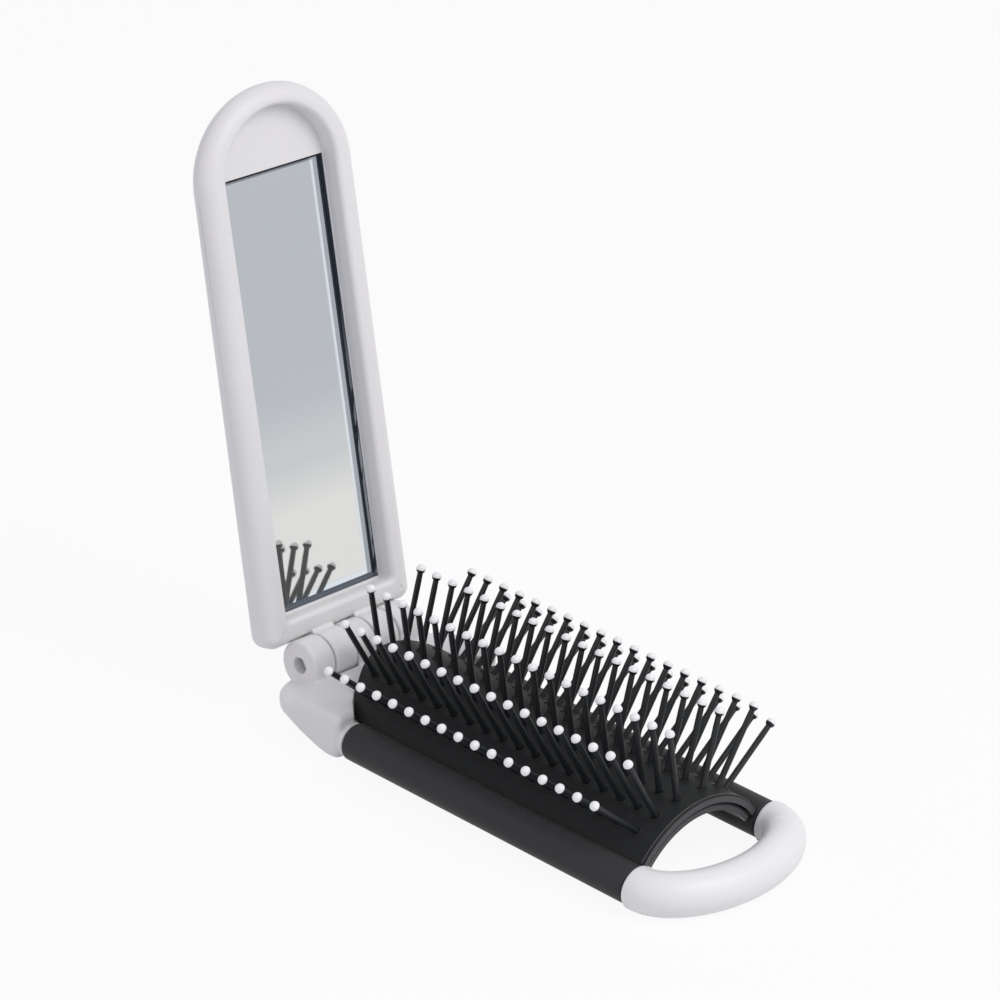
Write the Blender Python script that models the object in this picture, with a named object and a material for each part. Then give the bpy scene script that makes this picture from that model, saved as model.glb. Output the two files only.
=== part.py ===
"""Folding pocket hair brush with a mirror lid, built as separate pieces on real joints.

X runs from the hinge to the end loop, Y across the brush and Z up. The pieces are laid out from the point
midway between the two arms' axes at the hinge block's face, and the whole is then stood with the middle of
its underside at the origin. The lid stands in its opened pose, a little past upright.
"""
import math

import bmesh
import bpy
from mathutils import Matrix, Vector

MM = 0.001
OVERRUN = 2.0 * MM
FIT = 0.3 * MM
SHARP_ANGLE = math.radians(32)
WELD_DISTANCE = 0.001 * MM
ROUND_SIDES = 28
PIN_BORE_SIDES = 20
CORNER_REACH_SHARE = 0.45
CORNER_ROUND_STEPS = 3
UP = Vector((0, 0, 1))
ALONG = Vector((1, 0, 0))
ACROSS = Vector((0, 1, 0))

# Arms: dark sleeves on white cores
WIDTH = 38.0 * MM
ARM_RADIUS = 3.25 * MM
ARM_LENGTH = 62.4 * MM
ARM_Y = WIDTH / 2 - ARM_RADIUS
CORE_RADIUS = 1.5 * MM
CORE_EASE = 0.4 * MM
BLOCK_SOCKET_DEPTH = 4.0 * MM
LOOP_SOCKET_DEPTH = 2.8 * MM
SOCKET_RADIUS = CORE_RADIUS + FIT
COLLAR_RADIUS = 2.95 * MM
COLLAR_LENGTH = 0.6 * MM
ARM_START = COLLAR_LENGTH + FIT
ARM_END = ARM_START + ARM_LENGTH

# End loop
LOOP_RADIUS = 3.65 * MM
LOOP_STRAIGHT = 0.8 * MM
LOOP_DEPTH = 8.75 * MM
LOOP_STEPS = 26
LOOP_SIDES = 20
LOOP_END_EASE = 0.4 * MM
LOOP_START = ARM_END + FIT

# Hinge block: its side profile as shares of its length and height, front face first
BLOCK_LENGTH = 18.5 * MM
BLOCK_HEIGHT = 10.0 * MM
BLOCK_PROFILE_SHARES = [
    (0.0, -0.27),
    (0.0, 0.43),
    (-0.035, 0.48),
    (-0.14, 0.49),
    (-0.64, 0.45),
    (-0.86, 0.31),
    (-0.98, 0.28),
    (-1.0, 0.18),
    (-0.98, 0.06),
    (-0.66, -0.13),
    (-0.5, -0.2),
    (-0.35, -0.26),
    (-0.2, -0.3),
    (-0.08, -0.3),
]
BLOCK_SPINE_SHARES = (0.0, 0.18)
BLOCK_CORNER = 0.7 * MM
BLOCK_PLAN_ROUND = 7.5 * MM
BLOCK_FRONT_ROUND = 1.2 * MM
BLOCK_END_ROUND = 1.2 * MM
BLOCK_END_SHRINK_SHARE = 0.25
BLOCK_END_TURNS = [math.radians(a) for a in (0, 22, 40, 54, 64, 73, 81)]

# The bed's hinge end, rounded in plan, and the pocket that the block has for it
BED_BACK = 8.4 * MM
BED_REACH = ARM_Y - 0.75 * MM
BED_BOW = 2.2
POCKET_LEVEL = 0.8 * MM

# Hinge: middle ear, a lid knuckle each side of it, then the outer ears
AXIS_BACK = 16.4 * MM
AXIS_HEIGHT = 5.95 * MM
AXIS = Vector((-AXIS_BACK, 0, AXIS_HEIGHT))
KNUCKLE_RADIUS = 4.2 * MM
KNUCKLE_EASE = 0.45 * MM
KNUCKLE_STEPS = 18
EAR_SWEEP = math.radians(250)
KNUCKLE_START = math.radians(-10)
KNUCKLE_SWEEP = math.radians(280)
MIDDLE_EAR = 4.4 * MM
LID_KNUCKLE = 4.8 * MM
OUTER_EAR = 4.6 * MM
EAR_FOOT = 2.2 * MM
PIN_RADIUS = 1.15 * MM
PIN_RECESS = 1.4 * MM
PIN_EASE = 0.2 * MM
BORE_RADIUS = PIN_RADIUS + FIT
LID_KNUCKLE_START = MIDDLE_EAR / 2 + FIT
OUTER_EAR_START = LID_KNUCKLE_START + LID_KNUCKLE + FIT
OUTER_EAR_END = OUTER_EAR_START + OUTER_EAR
EAR_SPANS = [
    (-OUTER_EAR_END, -OUTER_EAR_START),
    (-MIDDLE_EAR / 2, MIDDLE_EAR / 2),
    (OUTER_EAR_START, OUTER_EAR_END),
]
KNUCKLE_SPANS = [
    (-LID_KNUCKLE_START - LID_KNUCKLE, -LID_KNUCKLE_START),
    (LID_KNUCKLE_START, LID_KNUCKLE_START + LID_KNUCKLE),
]

# Lid: measured along it from the hinge axis, and in depth behind the axis
LID_LEAN = math.radians(13.4)
LID_WIDTH = 33.4 * MM
LID_FRONT = 1.0 * MM
LID_THICKNESS = 6.5 * MM
LID_TAPER = 1.6 * MM
LID_FOOT = 3.2 * MM
LID_CORNER = 2.4 * MM
LID_STRAIGHT = 78.3 * MM
LID_ARC = 14.9 * MM
LID_EDGE = 2.6 * MM
LID_EDGE_STEPS = 4
LID_ARC_STEPS = 20
RIM = 4.4 * MM
RIM_FOOT = 4.4 * MM
RIM_TOP = 3.6 * MM
RECESS_DEPTH = 3.5 * MM
RECESS_CORNER = 0.8 * MM
RECESS_LIP = 0.9 * MM
RECESS_LIP_STEPS = 3
CORNER_STEPS = 4
LID_TOP = LID_FOOT + LID_STRAIGHT + LID_ARC

# Mirror, laid in a pocket in the recess floor
GLASS_THICKNESS = 0.8 * MM
GLASS_BEVEL = 0.3 * MM
SILVER_THICKNESS = 0.1 * MM
TAPE_THICKNESS = 0.15 * MM
TAPE_INSET = 1.6 * MM
LAYER_GAP = 0.03 * MM
POCKET_LEDGE = 0.15 * MM
POCKET_SIDE = 1.15 * MM
FOOT_LEDGE = 0.35 * MM
POCKET_FOOT = 0.8 * MM
POCKET_TOP = 0.3 * MM
GLASS_PAST = 0.25 * MM
GLASS_WIDTH = LID_WIDTH - 2 * (RIM + POCKET_LEDGE + POCKET_SIDE)
POCKET_DEPTH = GLASS_THICKNESS + SILVER_THICKNESS + TAPE_THICKNESS + 3 * LAYER_GAP
GLASS_START = LID_FOOT + RIM_FOOT + FOOT_LEDGE + POCKET_FOOT
GLASS_LENGTH = LID_FOOT + LID_STRAIGHT + GLASS_PAST - GLASS_START

# Bed: an arch between the two arms, seated along each at a height set by an angle
CROWN_HEIGHT = 9.25 * MM
BED_THICKNESS = 1.3 * MM
BED_SETBACK = 0.3 * MM
BED_STEPS = 22
SEAT_ANGLE = math.radians(52)
SEAT_RADIUS = ARM_RADIUS + FIT
SEAT_Y = ARM_Y - SEAT_RADIUS * math.cos(SEAT_ANGLE)
SEAT_Z = SEAT_RADIUS * math.sin(SEAT_ANGLE)
BED_RISE = CROWN_HEIGHT - SEAT_Z
BED_RADIUS = (SEAT_Y ** 2 + BED_RISE ** 2) / (2 * BED_RISE)
BED_CENTRE_Z = CROWN_HEIGHT - BED_RADIUS
ARCH_ANGLE = math.asin(SEAT_Y / BED_RADIUS)
BED_HALF_ANGLE = ARCH_ANGLE + math.radians(3)
BED_END = ARM_END - BED_SETBACK

# Pad strips under the bed, each carrying a row of pins
PAD_THICKNESS = 1.2 * MM
PAD_SEAM = 0.3 * MM
PAD_SETBACK = 0.3 * MM
PAD_STEPS = 3
PAD_RADIUS = BED_RADIUS - BED_THICKNESS - FIT

# Pins: the outer, middle and inner row of one side, mirrored on the other. Each row's place and its
# strip of the pad are shares of the arch's angle, and it leans out past square to the bed there
PIN_PITCH = 3.7 * MM
PIN_LENGTH = 13.2 * MM
MIDDLE_LENGTH = 14.1 * MM
PIN_SHAFT = 0.5 * MM
PIN_NECK = 0.42 * MM
BALL_RADIUS = 0.8 * MM
BALL_SHARES = [(-0.3, 0.95), (0.5, 0.82)]
PIN_SIDES = 5
HOLE_RADIUS = 0.8 * MM
HOLE_SIDES = 6
OUTER_START, OUTER_END = 3.0 * MM, 4.5 * MM
MIDDLE_START, MIDDLE_END = 2.6 * MM, 3.4 * MM
INNER_START, INNER_END = 1.2 * MM, 3.0 * MM
PIN_ROWS = [
    {"share": 0.725, "lean": 14.3, "length": PIN_LENGTH, "start": OUTER_START, "end": OUTER_END,
     "pad_shares": (0.605, 0.98)},
    {"share": 0.487, "lean": 7.3, "length": MIDDLE_LENGTH, "start": MIDDLE_START, "end": MIDDLE_END,
     "pad_shares": (0.34, 0.605)},
    {"share": 0.1945, "lean": 2.6, "length": PIN_LENGTH, "start": INNER_START, "end": INNER_END,
     "pad_shares": (0.0, 0.34)},
]


def clear_scene():
    """Remove every object that the session starts with."""
    for obj in list(bpy.data.objects):
        bpy.data.objects.remove(obj, do_unlink=True)


def finish(name, colour, roughness, metallic=0.0):
    """Return a Principled material."""
    material = bpy.data.materials.new(name)
    material.use_nodes = True
    shader = material.node_tree.nodes["Principled BSDF"]
    shader.inputs["Base Color"].default_value = (*colour, 1.0)
    shader.inputs["Metallic"].default_value = metallic
    shader.inputs["Roughness"].default_value = roughness
    return material


def add_object(name, bm, material=None):
    """Turn a bmesh into a named object, shaded smooth where it is round."""
    bmesh.ops.recalc_face_normals(bm, faces=bm.faces)
    mesh = bpy.data.meshes.new(name)
    bm.to_mesh(mesh)
    bm.free()
    if material:
        mesh.materials.append(material)
    mesh.shade_smooth()
    mesh.set_sharp_from_angle(angle=SHARP_ANGLE)
    obj = bpy.data.objects.new(name, mesh)
    bpy.context.scene.collection.objects.link(obj)
    return obj


def loft(rings):
    """Skin a run of rings of equal length and cap both ends."""
    bm = bmesh.new()
    rows = [[bm.verts.new(p) for p in ring] for ring in rings]
    count = len(rows[0])
    for low, high in zip(rows, rows[1:]):
        for i in range(count):
            j = (i + 1) % count
            bm.faces.new((low[i], low[j], high[j], high[i]))
    bm.faces.new(rows[0][::-1])
    bm.faces.new(rows[-1])
    return bm


def circle(centre, first, second, radius, sides):
    """Points of a circle in the plane of two unit vectors."""
    turns = [2 * math.pi * i / sides for i in range(sides)]
    return [centre + radius * (first * math.cos(t) + second * math.sin(t)) for t in turns]


def rod(start, end, radius, ease=0, sides=ROUND_SIDES):
    """A round bar between two points, its ends eased by a chamfer where asked."""
    axis = (end - start).normalized()
    first = axis.orthogonal().normalized()
    second = axis.cross(first)
    length = (end - start).length
    stations = [(0, radius - ease), (ease, radius), (length - ease, radius), (length, radius - ease)]
    if not ease:
        stations = [(0, radius), (length, radius)]
    return loft([circle(start + axis * s, first, second, r, sides) for s, r in stations])


def block_between(low, high):
    """A box between two opposite corners."""
    bm = bmesh.new()
    bmesh.ops.create_cube(bm, size=1)
    low, high = Vector(low), Vector(high)
    size = Matrix.Diagonal(high - low).to_4x4()
    bmesh.ops.transform(bm, matrix=Matrix.Translation((low + high) / 2) @ size, verts=bm.verts)
    return bm


def combine(obj, operation, tools):
    """Cut or join the tool shapes with exact booleans, then clear what is too small to keep."""
    for shape in tools:
        tool = add_object("cutter", shape)
        tool.hide_render = True
        tool.display_type = "WIRE"
        modifier = obj.modifiers.new("boolean", "BOOLEAN")
        modifier.operation = operation
        modifier.solver = "EXACT"
        modifier.object = tool
        graph = bpy.context.evaluated_depsgraph_get()
        mesh = bpy.data.meshes.new_from_object(obj.evaluated_get(graph))
        obj.modifiers.clear()
        obj.data = mesh
        bpy.data.objects.remove(tool, do_unlink=True)
    bm = bmesh.new()
    bm.from_mesh(obj.data)
    bmesh.ops.triangulate(bm, faces=[f for f in bm.faces if len(f.verts) > 4])
    bmesh.ops.dissolve_degenerate(bm, edges=bm.edges, dist=WELD_DISTANCE)
    bm.to_mesh(obj.data)
    bm.free()
    return obj


def stand_at_origin():
    """Shift the whole part so that the origin is the middle of its underside."""
    bpy.context.view_layer.update()
    corners = [obj.matrix_world @ Vector(c) for obj in bpy.data.objects for c in obj.bound_box]
    low = Vector([min(c[i] for c in corners) for i in range(3)])
    high = Vector([max(c[i] for c in corners) for i in range(3)])
    for obj in bpy.data.objects:
        obj.location -= Vector(((low.x + high.x) / 2, (low.y + high.y) / 2, low.z))


def hang_on_axis(obj):
    """Move an object's origin to the hinge axis without moving its mesh."""
    obj.data.transform(Matrix.Translation(-AXIS))
    obj.location = AXIS


def round_corners(points, radius, steps=CORNER_ROUND_STEPS):
    """Round each corner of a closed outline."""
    out = []
    count = len(points)
    for i in range(count):
        before, here, after = (Vector(points[(i + k) % count]) for k in (-1, 0, 1))
        shortest = min((before - here).length, (after - here).length)
        reach = min(radius, shortest * CORNER_REACH_SHARE)
        start = here + (before - here).normalized() * reach
        end = here + (after - here).normalized() * reach
        for k in range(steps + 1):
            t = k / steps
            out.append(start * (1 - t) ** 2 + here * 2 * t * (1 - t) + end * t ** 2)
    return out


def end_rounding(out, radius):
    """How far, as a share of its radius, a rounding at the block's end has turned in."""
    into = max(0.0, 1 - (WIDTH / 2 - out) / radius)
    return 1 - math.sqrt(1 - into ** 2)


def block_end_rings():
    """Distance out, height share and the rear's and front's setbacks along the rounded end."""
    rings = []
    for turn in BLOCK_END_TURNS:
        out = WIDTH / 2 - BLOCK_PLAN_ROUND * (1 - math.sin(turn))
        shrink = BLOCK_END_SHRINK_SHARE * end_rounding(out, BLOCK_END_ROUND)
        front = BLOCK_FRONT_ROUND * end_rounding(out, BLOCK_FRONT_ROUND)
        rings.append((out, 1 - shrink, BLOCK_PLAN_ROUND * (1 - math.cos(turn)), front))
    rings.append((WIDTH / 2, 1 - BLOCK_END_SHRINK_SHARE, BLOCK_PLAN_ROUND, BLOCK_FRONT_ROUND))
    return rings


def block_section(y, height_share, rear_setback, front_setback):
    """The block's side profile at one distance out, drawn in at both ends and towards its spine."""
    points = [Vector((x * BLOCK_LENGTH, z * BLOCK_HEIGHT)) for x, z in BLOCK_PROFILE_SHARES]
    ring = []
    for point in round_corners(points, BLOCK_CORNER):
        along = -point.x / BLOCK_LENGTH
        front, rear = BLOCK_SPINE_SHARES
        spine = BLOCK_HEIGHT * (front + (rear - front) * along)
        x = point.x + rear_setback * along - front_setback * (1 - along)
        ring.append(Vector((x, y, spine + (point.y - spine) * height_share)))
    return ring


def bed_start(y, gap=0):
    """Where the bed's rounded hinge end lies at a distance across, or a wall a gap behind it."""
    share = min(1.0, abs(y) / (BED_REACH + gap))
    return -(BED_BACK + gap) * (1 - share ** BED_BOW)


def bed_pocket():
    """The room in the block for the bed's hinge end."""
    reach = BED_REACH + FIT
    across = [reach * (2 * k / BED_STEPS - 1) for k in range(BED_STEPS + 1)]
    outline = [(OVERRUN, -reach)] + [(bed_start(y, FIT), y) for y in across] + [(OVERRUN, reach)]
    return loft([[Vector((x, y, z)) for x, y in outline] for z in (POCKET_LEVEL, BLOCK_HEIGHT)])


def knuckle_rod(span):
    """The running clearance that a knuckle needs in its neighbour."""
    low, high = span
    start, end = AXIS + ACROSS * (low - FIT), AXIS + ACROSS * (high + FIT)
    return rod(start, end, KNUCKLE_RADIUS + FIT)


def swing_relief(span):
    """Room behind the axis for a lid knuckle's root when the lid lies right back."""
    low, high = span
    floor, behind = AXIS_HEIGHT - KNUCKLE_RADIUS - FIT, -BLOCK_LENGTH - OVERRUN
    return block_between((behind, low - FIT, floor), (-AXIS_BACK, high + FIT, BLOCK_HEIGHT))


def hinge_bore():
    """The hole for the hinge pin, through every knuckle."""
    reach = ACROSS * WIDTH / 2
    return rod(AXIS - reach, AXIS + reach, BORE_RADIUS, sides=PIN_BORE_SIDES)


def eased_span(span):
    """Places across a knuckle and how far its edge is drawn in at each."""
    low, high = span
    return [(low, KNUCKLE_EASE), (low + KNUCKLE_EASE, 0), (high - KNUCKLE_EASE, 0), (high, KNUCKLE_EASE)]


def ear(span):
    """One ear: round on the hinge axis, with a straight front down into the block."""
    rings = []
    for y, inset in eased_span(span):
        radius = KNUCKLE_RADIUS - inset
        ring = []
        for k in range(KNUCKLE_STEPS + 1):
            turn = EAR_SWEEP * k / KNUCKLE_STEPS
            ring.append(AXIS + Vector((radius * math.cos(turn), y, radius * math.sin(turn))))
        ring.append(Vector((AXIS.x + radius, y, EAR_FOOT + inset)))
        rings.append(ring)
    return loft(rings)


def build_block(material):
    """Hinge block: rounded bar with arm sockets, collars and three ears."""
    ends = block_end_rings()
    stations = [(-y, *rest) for y, *rest in reversed(ends)] + ends
    block = add_object("hinge_block", loft([block_section(*station) for station in stations]), material)
    clearances = [make(span) for span in KNUCKLE_SPANS for make in (knuckle_rod, swing_relief)]
    combine(block, "DIFFERENCE", [bed_pocket()] + clearances)
    additions = [ear(span) for span in EAR_SPANS]
    cuts = [hinge_bore()]
    for side in (-1, 1):
        boss = arm_point(side, -BLOCK_SOCKET_DEPTH)
        additions.append(rod(boss, arm_point(side, COLLAR_LENGTH), COLLAR_RADIUS))
        deep = arm_point(side, -BLOCK_SOCKET_DEPTH - FIT)
        cuts.append(rod(deep, arm_point(side, OVERRUN), SOCKET_RADIUS))
    combine(block, "UNION", additions)
    return combine(block, "DIFFERENCE", cuts)


def arm_point(side, x):
    """A point on one arm's axis."""
    return Vector((x, side * ARM_Y, 0))


def build_arm(side, label, dark, white):
    """The dark sleeve of one arm and the white core rod that ties block, sleeve and loop."""
    start, end = arm_point(side, ARM_START), arm_point(side, ARM_END)
    sleeve = add_object("arm_sleeve_" + label, rod(start, end, ARM_RADIUS), dark)
    bore = rod(start - ALONG * OVERRUN, end + ALONG * OVERRUN, SOCKET_RADIUS)
    combine(sleeve, "DIFFERENCE", [bore])
    start, end = arm_point(side, -BLOCK_SOCKET_DEPTH), arm_point(side, LOOP_START + LOOP_SOCKET_DEPTH)
    add_object("arm_core_" + label, rod(start, end, CORE_RADIUS, CORE_EASE), white)


def build_loop(material):
    """End loop: a fat tube bent round in a flattened D, socketed for both cores."""
    bend = LOOP_START + LOOP_STRAIGHT
    path = [(arm_point(-1, LOOP_START), ALONG, LOOP_END_EASE)]
    path.append((arm_point(-1, LOOP_START + LOOP_END_EASE), ALONG, 0))
    for k in range(LOOP_STEPS + 1):
        turn = math.pi * k / LOOP_STEPS
        here = Vector((bend + LOOP_DEPTH * math.sin(turn), -ARM_Y * math.cos(turn), 0))
        along = Vector((LOOP_DEPTH * math.cos(turn), ARM_Y * math.sin(turn), 0)).normalized()
        path.append((here, along, 0))
    path.append((arm_point(1, LOOP_START + LOOP_END_EASE), -ALONG, 0))
    path.append((arm_point(1, LOOP_START), -ALONG, LOOP_END_EASE))
    rings = [circle(p, t.cross(UP), UP, LOOP_RADIUS - ease, LOOP_SIDES) for p, t, ease in path]
    loop = add_object("end_loop", loft(rings), material)
    cuts = []
    for side in (-1, 1):
        deep = arm_point(side, LOOP_START + LOOP_SOCKET_DEPTH + FIT)
        cuts.append(rod(arm_point(side, LOOP_START - OVERRUN), deep, SOCKET_RADIUS))
    return combine(loop, "DIFFERENCE", cuts)


def lid_matrix():
    """Lid axes (along, across, towards the mirror side) in the part's frame."""
    along = Vector((-math.sin(LID_LEAN), 0, math.cos(LID_LEAN)))
    front = along.cross(-ACROSS)
    matrix = Matrix((along, ACROSS, front)).transposed().to_4x4()
    matrix.translation = AXIS
    return matrix


def arched_outline(foot, corner, half_width, arc_start, arc_depth):
    """Square-footed, round-topped outline, with the outward direction at each point."""
    points = []
    for k in range(CORNER_STEPS + 1):
        turn = math.pi / 2 * k / CORNER_STEPS
        u = foot + corner * (1 - math.cos(turn))
        y = -half_width + corner * (1 - math.sin(turn))
        points.append((u, y, -math.cos(turn), -math.sin(turn)))
    for k in range(LID_ARC_STEPS + 1):
        turn = math.pi * k / LID_ARC_STEPS
        u, y = arc_start + arc_depth * math.sin(turn), -half_width * math.cos(turn)
        outward = Vector((math.sin(turn) / arc_depth, -math.cos(turn) / half_width)).normalized()
        points.append((u, y, outward.x, outward.y))
    right = [(u, -y, a, -b) for u, y, a, b in reversed(points[: CORNER_STEPS + 1])]
    return points + right


def lid_ring(matrix, outline, inset, depth_at):
    """One ring of the lid: the outline drawn in, at a depth that may vary along it."""
    ring = []
    for u, y, out_u, out_y in outline:
        here_u = u - out_u * inset
        ring.append(matrix @ Vector((here_u, y - out_y * inset, depth_at(here_u))))
    return ring


def lid_back(u):
    """Depth of the lid's back, which tapers towards the top."""
    return -LID_FRONT - LID_THICKNESS + LID_TAPER * (u - LID_FOOT) / (LID_TOP - LID_FOOT)


def lid_rings():
    """Rings from the lid's back, round its rim and down to the recess floor."""
    half = LID_WIDTH / 2
    arc_start = LID_FOOT + LID_STRAIGHT
    outer = arched_outline(LID_FOOT, LID_CORNER, half, arc_start, LID_ARC)
    inner = arched_outline(LID_FOOT + RIM_FOOT, RECESS_CORNER, half - RIM, arc_start, LID_ARC - RIM_TOP)
    matrix = lid_matrix()
    rings = []
    for k in range(LID_EDGE_STEPS + 1):
        turn = math.pi / 2 * k / LID_EDGE_STEPS
        inset, rise = LID_EDGE * (1 - math.sin(turn)), LID_EDGE * (1 - math.cos(turn))
        rings.append(lid_ring(matrix, outer, inset, lambda u, r=rise: lid_back(u) + r))
    for k in range(LID_EDGE_STEPS + 1):
        turn = math.pi / 2 * k / LID_EDGE_STEPS
        inset, drop = LID_EDGE * (1 - math.cos(turn)), LID_EDGE * (1 - math.sin(turn))
        rings.append(lid_ring(matrix, outer, inset, lambda u, d=drop: -LID_FRONT - d))
    for k in range(RECESS_LIP_STEPS + 1):
        turn = math.pi / 2 * k / RECESS_LIP_STEPS
        inset, drop = -RECESS_LIP * (1 - math.sin(turn)), RECESS_LIP * (1 - math.cos(turn))
        rings.append(lid_ring(matrix, inner, inset, lambda u, d=drop: -LID_FRONT - d))
    rings.append(lid_ring(matrix, inner, 0, lambda u: -LID_FRONT - RECESS_DEPTH))
    return rings


def lid_knuckle(span, matrix):
    """One lid knuckle: round on the axis, drawn up into the lid's foot."""
    rings = []
    for y, inset in eased_span(span):
        radius = KNUCKLE_RADIUS - inset
        ring = []
        for k in range(KNUCKLE_STEPS + 1):
            turn = KNUCKLE_START + KNUCKLE_SWEEP * k / KNUCKLE_STEPS
            ring.append(matrix @ Vector((radius * math.cos(turn), y, radius * math.sin(turn))))
        root = LID_FOOT + RIM_FOOT / 2
        ring.append(matrix @ Vector((root, y, -LID_FRONT - LID_THICKNESS / 2)))
        ring.append(matrix @ Vector((root, y, -LID_FRONT - RECESS_LIP)))
        rings.append(ring)
    return loft(rings)


def build_lid(material):
    """Lid shell: thick rounded rim, recess, mirror pocket and two hinge knuckles."""
    matrix = lid_matrix()
    shell = add_object("lid_shell", loft(lid_rings()), material)
    combine(shell, "DIFFERENCE", [knuckle_rod(span) for span in EAR_SPANS])
    combine(shell, "UNION", [lid_knuckle(span, matrix) for span in KNUCKLE_SPANS])
    half = GLASS_WIDTH / 2 + POCKET_SIDE
    floor = -LID_FRONT - RECESS_DEPTH
    low = (GLASS_START - POCKET_FOOT, -half, floor - POCKET_DEPTH)
    high = (GLASS_START + GLASS_LENGTH + POCKET_TOP, half, floor + RECESS_LIP)
    pocket = block_between(low, high)
    bmesh.ops.transform(pocket, matrix=matrix, verts=pocket.verts)
    combine(shell, "DIFFERENCE", [pocket, hinge_bore()])
    hang_on_axis(shell)


def mirror_layer(name, inset, bottom, thickness, material, bevel=0):
    """One flat layer of the mirror, its underside at a height above the pocket floor."""
    matrix = lid_matrix()
    base = bottom - LID_FRONT - RECESS_DEPTH - POCKET_DEPTH
    half = GLASS_WIDTH / 2 - inset
    start, end = GLASS_START + inset, GLASS_START + GLASS_LENGTH - inset
    levels = [(0, base), (0, base + thickness - bevel), (bevel, base + thickness)]
    if not bevel:
        levels = levels[:2]
    rings = []
    for edge, depth in levels:
        low, high, side = start + edge, end - edge, half - edge
        corners = [(low, -side), (high, -side), (high, side), (low, side)]
        rings.append([matrix @ Vector((u, y, depth)) for u, y in corners])
    hang_on_axis(add_object(name, loft(rings), material))


def build_mirror(glass, silver, tape):
    """Adhesive sheet, silvering and bevelled glass, stacked in the pocket."""
    height = LAYER_GAP
    mirror_layer("mirror_tape", TAPE_INSET, height, TAPE_THICKNESS, tape)
    height += TAPE_THICKNESS + LAYER_GAP
    mirror_layer("mirror_silvering", 0, height, SILVER_THICKNESS, silver)
    height += SILVER_THICKNESS + LAYER_GAP
    mirror_layer("mirror_glass", 0, height, GLASS_THICKNESS, glass, GLASS_BEVEL)


def build_hinge_pin(material):
    """Steel pin through all five knuckles, ending a little inside the outer ears."""
    reach = ACROSS * (OUTER_EAR_END - PIN_RECESS)
    pin = rod(AXIS - reach, AXIS + reach, PIN_RADIUS, PIN_EASE, PIN_BORE_SIDES)
    hang_on_axis(add_object("hinge_pin", pin, material))


def arch_solid(outer, thickness, low, high, steps, end_x):
    """Arched slab: its hinge end is rounded in plan and its other end is square."""
    rings = []
    for k in range(steps + 1):
        turn = low + (high - low) * k / steps
        ring = []
        for radius, ends in ((outer, (0, 1)), (outer - thickness, (1, 0))):
            y, z = radius * math.sin(turn), BED_CENTRE_Z + radius * math.cos(turn)
            ring += [Vector(((bed_start(y), end_x)[end], y, z)) for end in ends]
        rings.append(ring)
    return loft(rings)


def pin_line(row, side):
    """Where a row's pins leave the bed, at X zero, and their direction."""
    place = ARCH_ANGLE * row["share"]
    lean = place + math.radians(row["lean"])
    foot = Vector((0, side * BED_RADIUS * math.sin(place), BED_CENTRE_Z + BED_RADIUS * math.cos(place)))
    return foot, Vector((0, side * math.sin(lean), math.cos(lean)))


def pin_feet(row, side):
    """The foot of each pin in a row, from the hinge end: as many as the bed's length takes."""
    foot, _ = pin_line(row, side)
    last = BED_END - row["end"]
    count = 1 + int((last - bed_start(foot.y) - row["start"]) / PIN_PITCH)
    return [foot + ALONG * (last - PIN_PITCH * k) for k in reversed(range(count))]


def add_prism(bm, stations, direction, sides):
    """Add a closed round-ish strand through stations of (point, radius)."""
    second = direction.cross(ALONG)
    rows = [[bm.verts.new(p) for p in circle(c, ALONG, second, r, sides)] for c, r in stations]
    for low, high in zip(rows, rows[1:]):
        for i in range(sides):
            j = (i + 1) % sides
            bm.faces.new((low[i], low[j], high[j], high[i]))
    bm.faces.new(rows[0][::-1])
    bm.faces.new(rows[-1])


def build_bed(material):
    """Arched plate between the arms, pierced for every pin."""
    bed = add_object("bed_plate", arch_solid(
        BED_RADIUS, BED_THICKNESS, -BED_HALF_ANGLE, BED_HALF_ANGLE, BED_STEPS, BED_END), material)
    cuts = []
    for side in (-1, 1):
        cuts.append(rod(arm_point(side, -BLOCK_LENGTH), arm_point(side, ARM_END + OVERRUN), SEAT_RADIUS))
    holes = bmesh.new()
    for row in PIN_ROWS:
        for side in (-1, 1):
            _, direction = pin_line(row, side)
            reach = direction * 2 * BED_THICKNESS
            for foot in pin_feet(row, side):
                ends = [(foot - reach, HOLE_RADIUS), (foot + reach, HOLE_RADIUS)]
                add_prism(holes, ends, direction, HOLE_SIDES)
    return combine(bed, "DIFFERENCE", cuts + [holes])


def pin_stations(foot, direction, length):
    """Stations of one pin: root, neck and ball tip."""
    root = foot - direction * (BED_THICKNESS + FIT + PAD_THICKNESS / 2)
    ball = foot + direction * length
    stations = [(root, PIN_SHAFT), (ball - direction * BALL_RADIUS, PIN_NECK)]
    for height, width in BALL_SHARES:
        stations.append((ball + direction * BALL_RADIUS * height, BALL_RADIUS * width))
    return stations + [(ball + direction * BALL_RADIUS, PIN_NECK)]


def build_pin_row(number, row, side, material):
    """One row of ball-tipped pins fused to its own strip of the inner pad."""
    low, high = (ARCH_ANGLE * share for share in row["pad_shares"])
    seam = PAD_SEAM / 2 / PAD_RADIUS
    low, high = low + seam, high - seam
    if side < 0:
        low, high = -high, -low
    strip = arch_solid(PAD_RADIUS, PAD_THICKNESS, low, high, PAD_STEPS, BED_END - PAD_SETBACK)
    obj = add_object("pin_row_%d" % number, strip, material)
    pins = bmesh.new()
    _, direction = pin_line(row, side)
    for foot in pin_feet(row, side):
        add_prism(pins, pin_stations(foot, direction, row["length"]), direction, PIN_SIDES)
    return combine(obj, "UNION", [pins])


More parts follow.
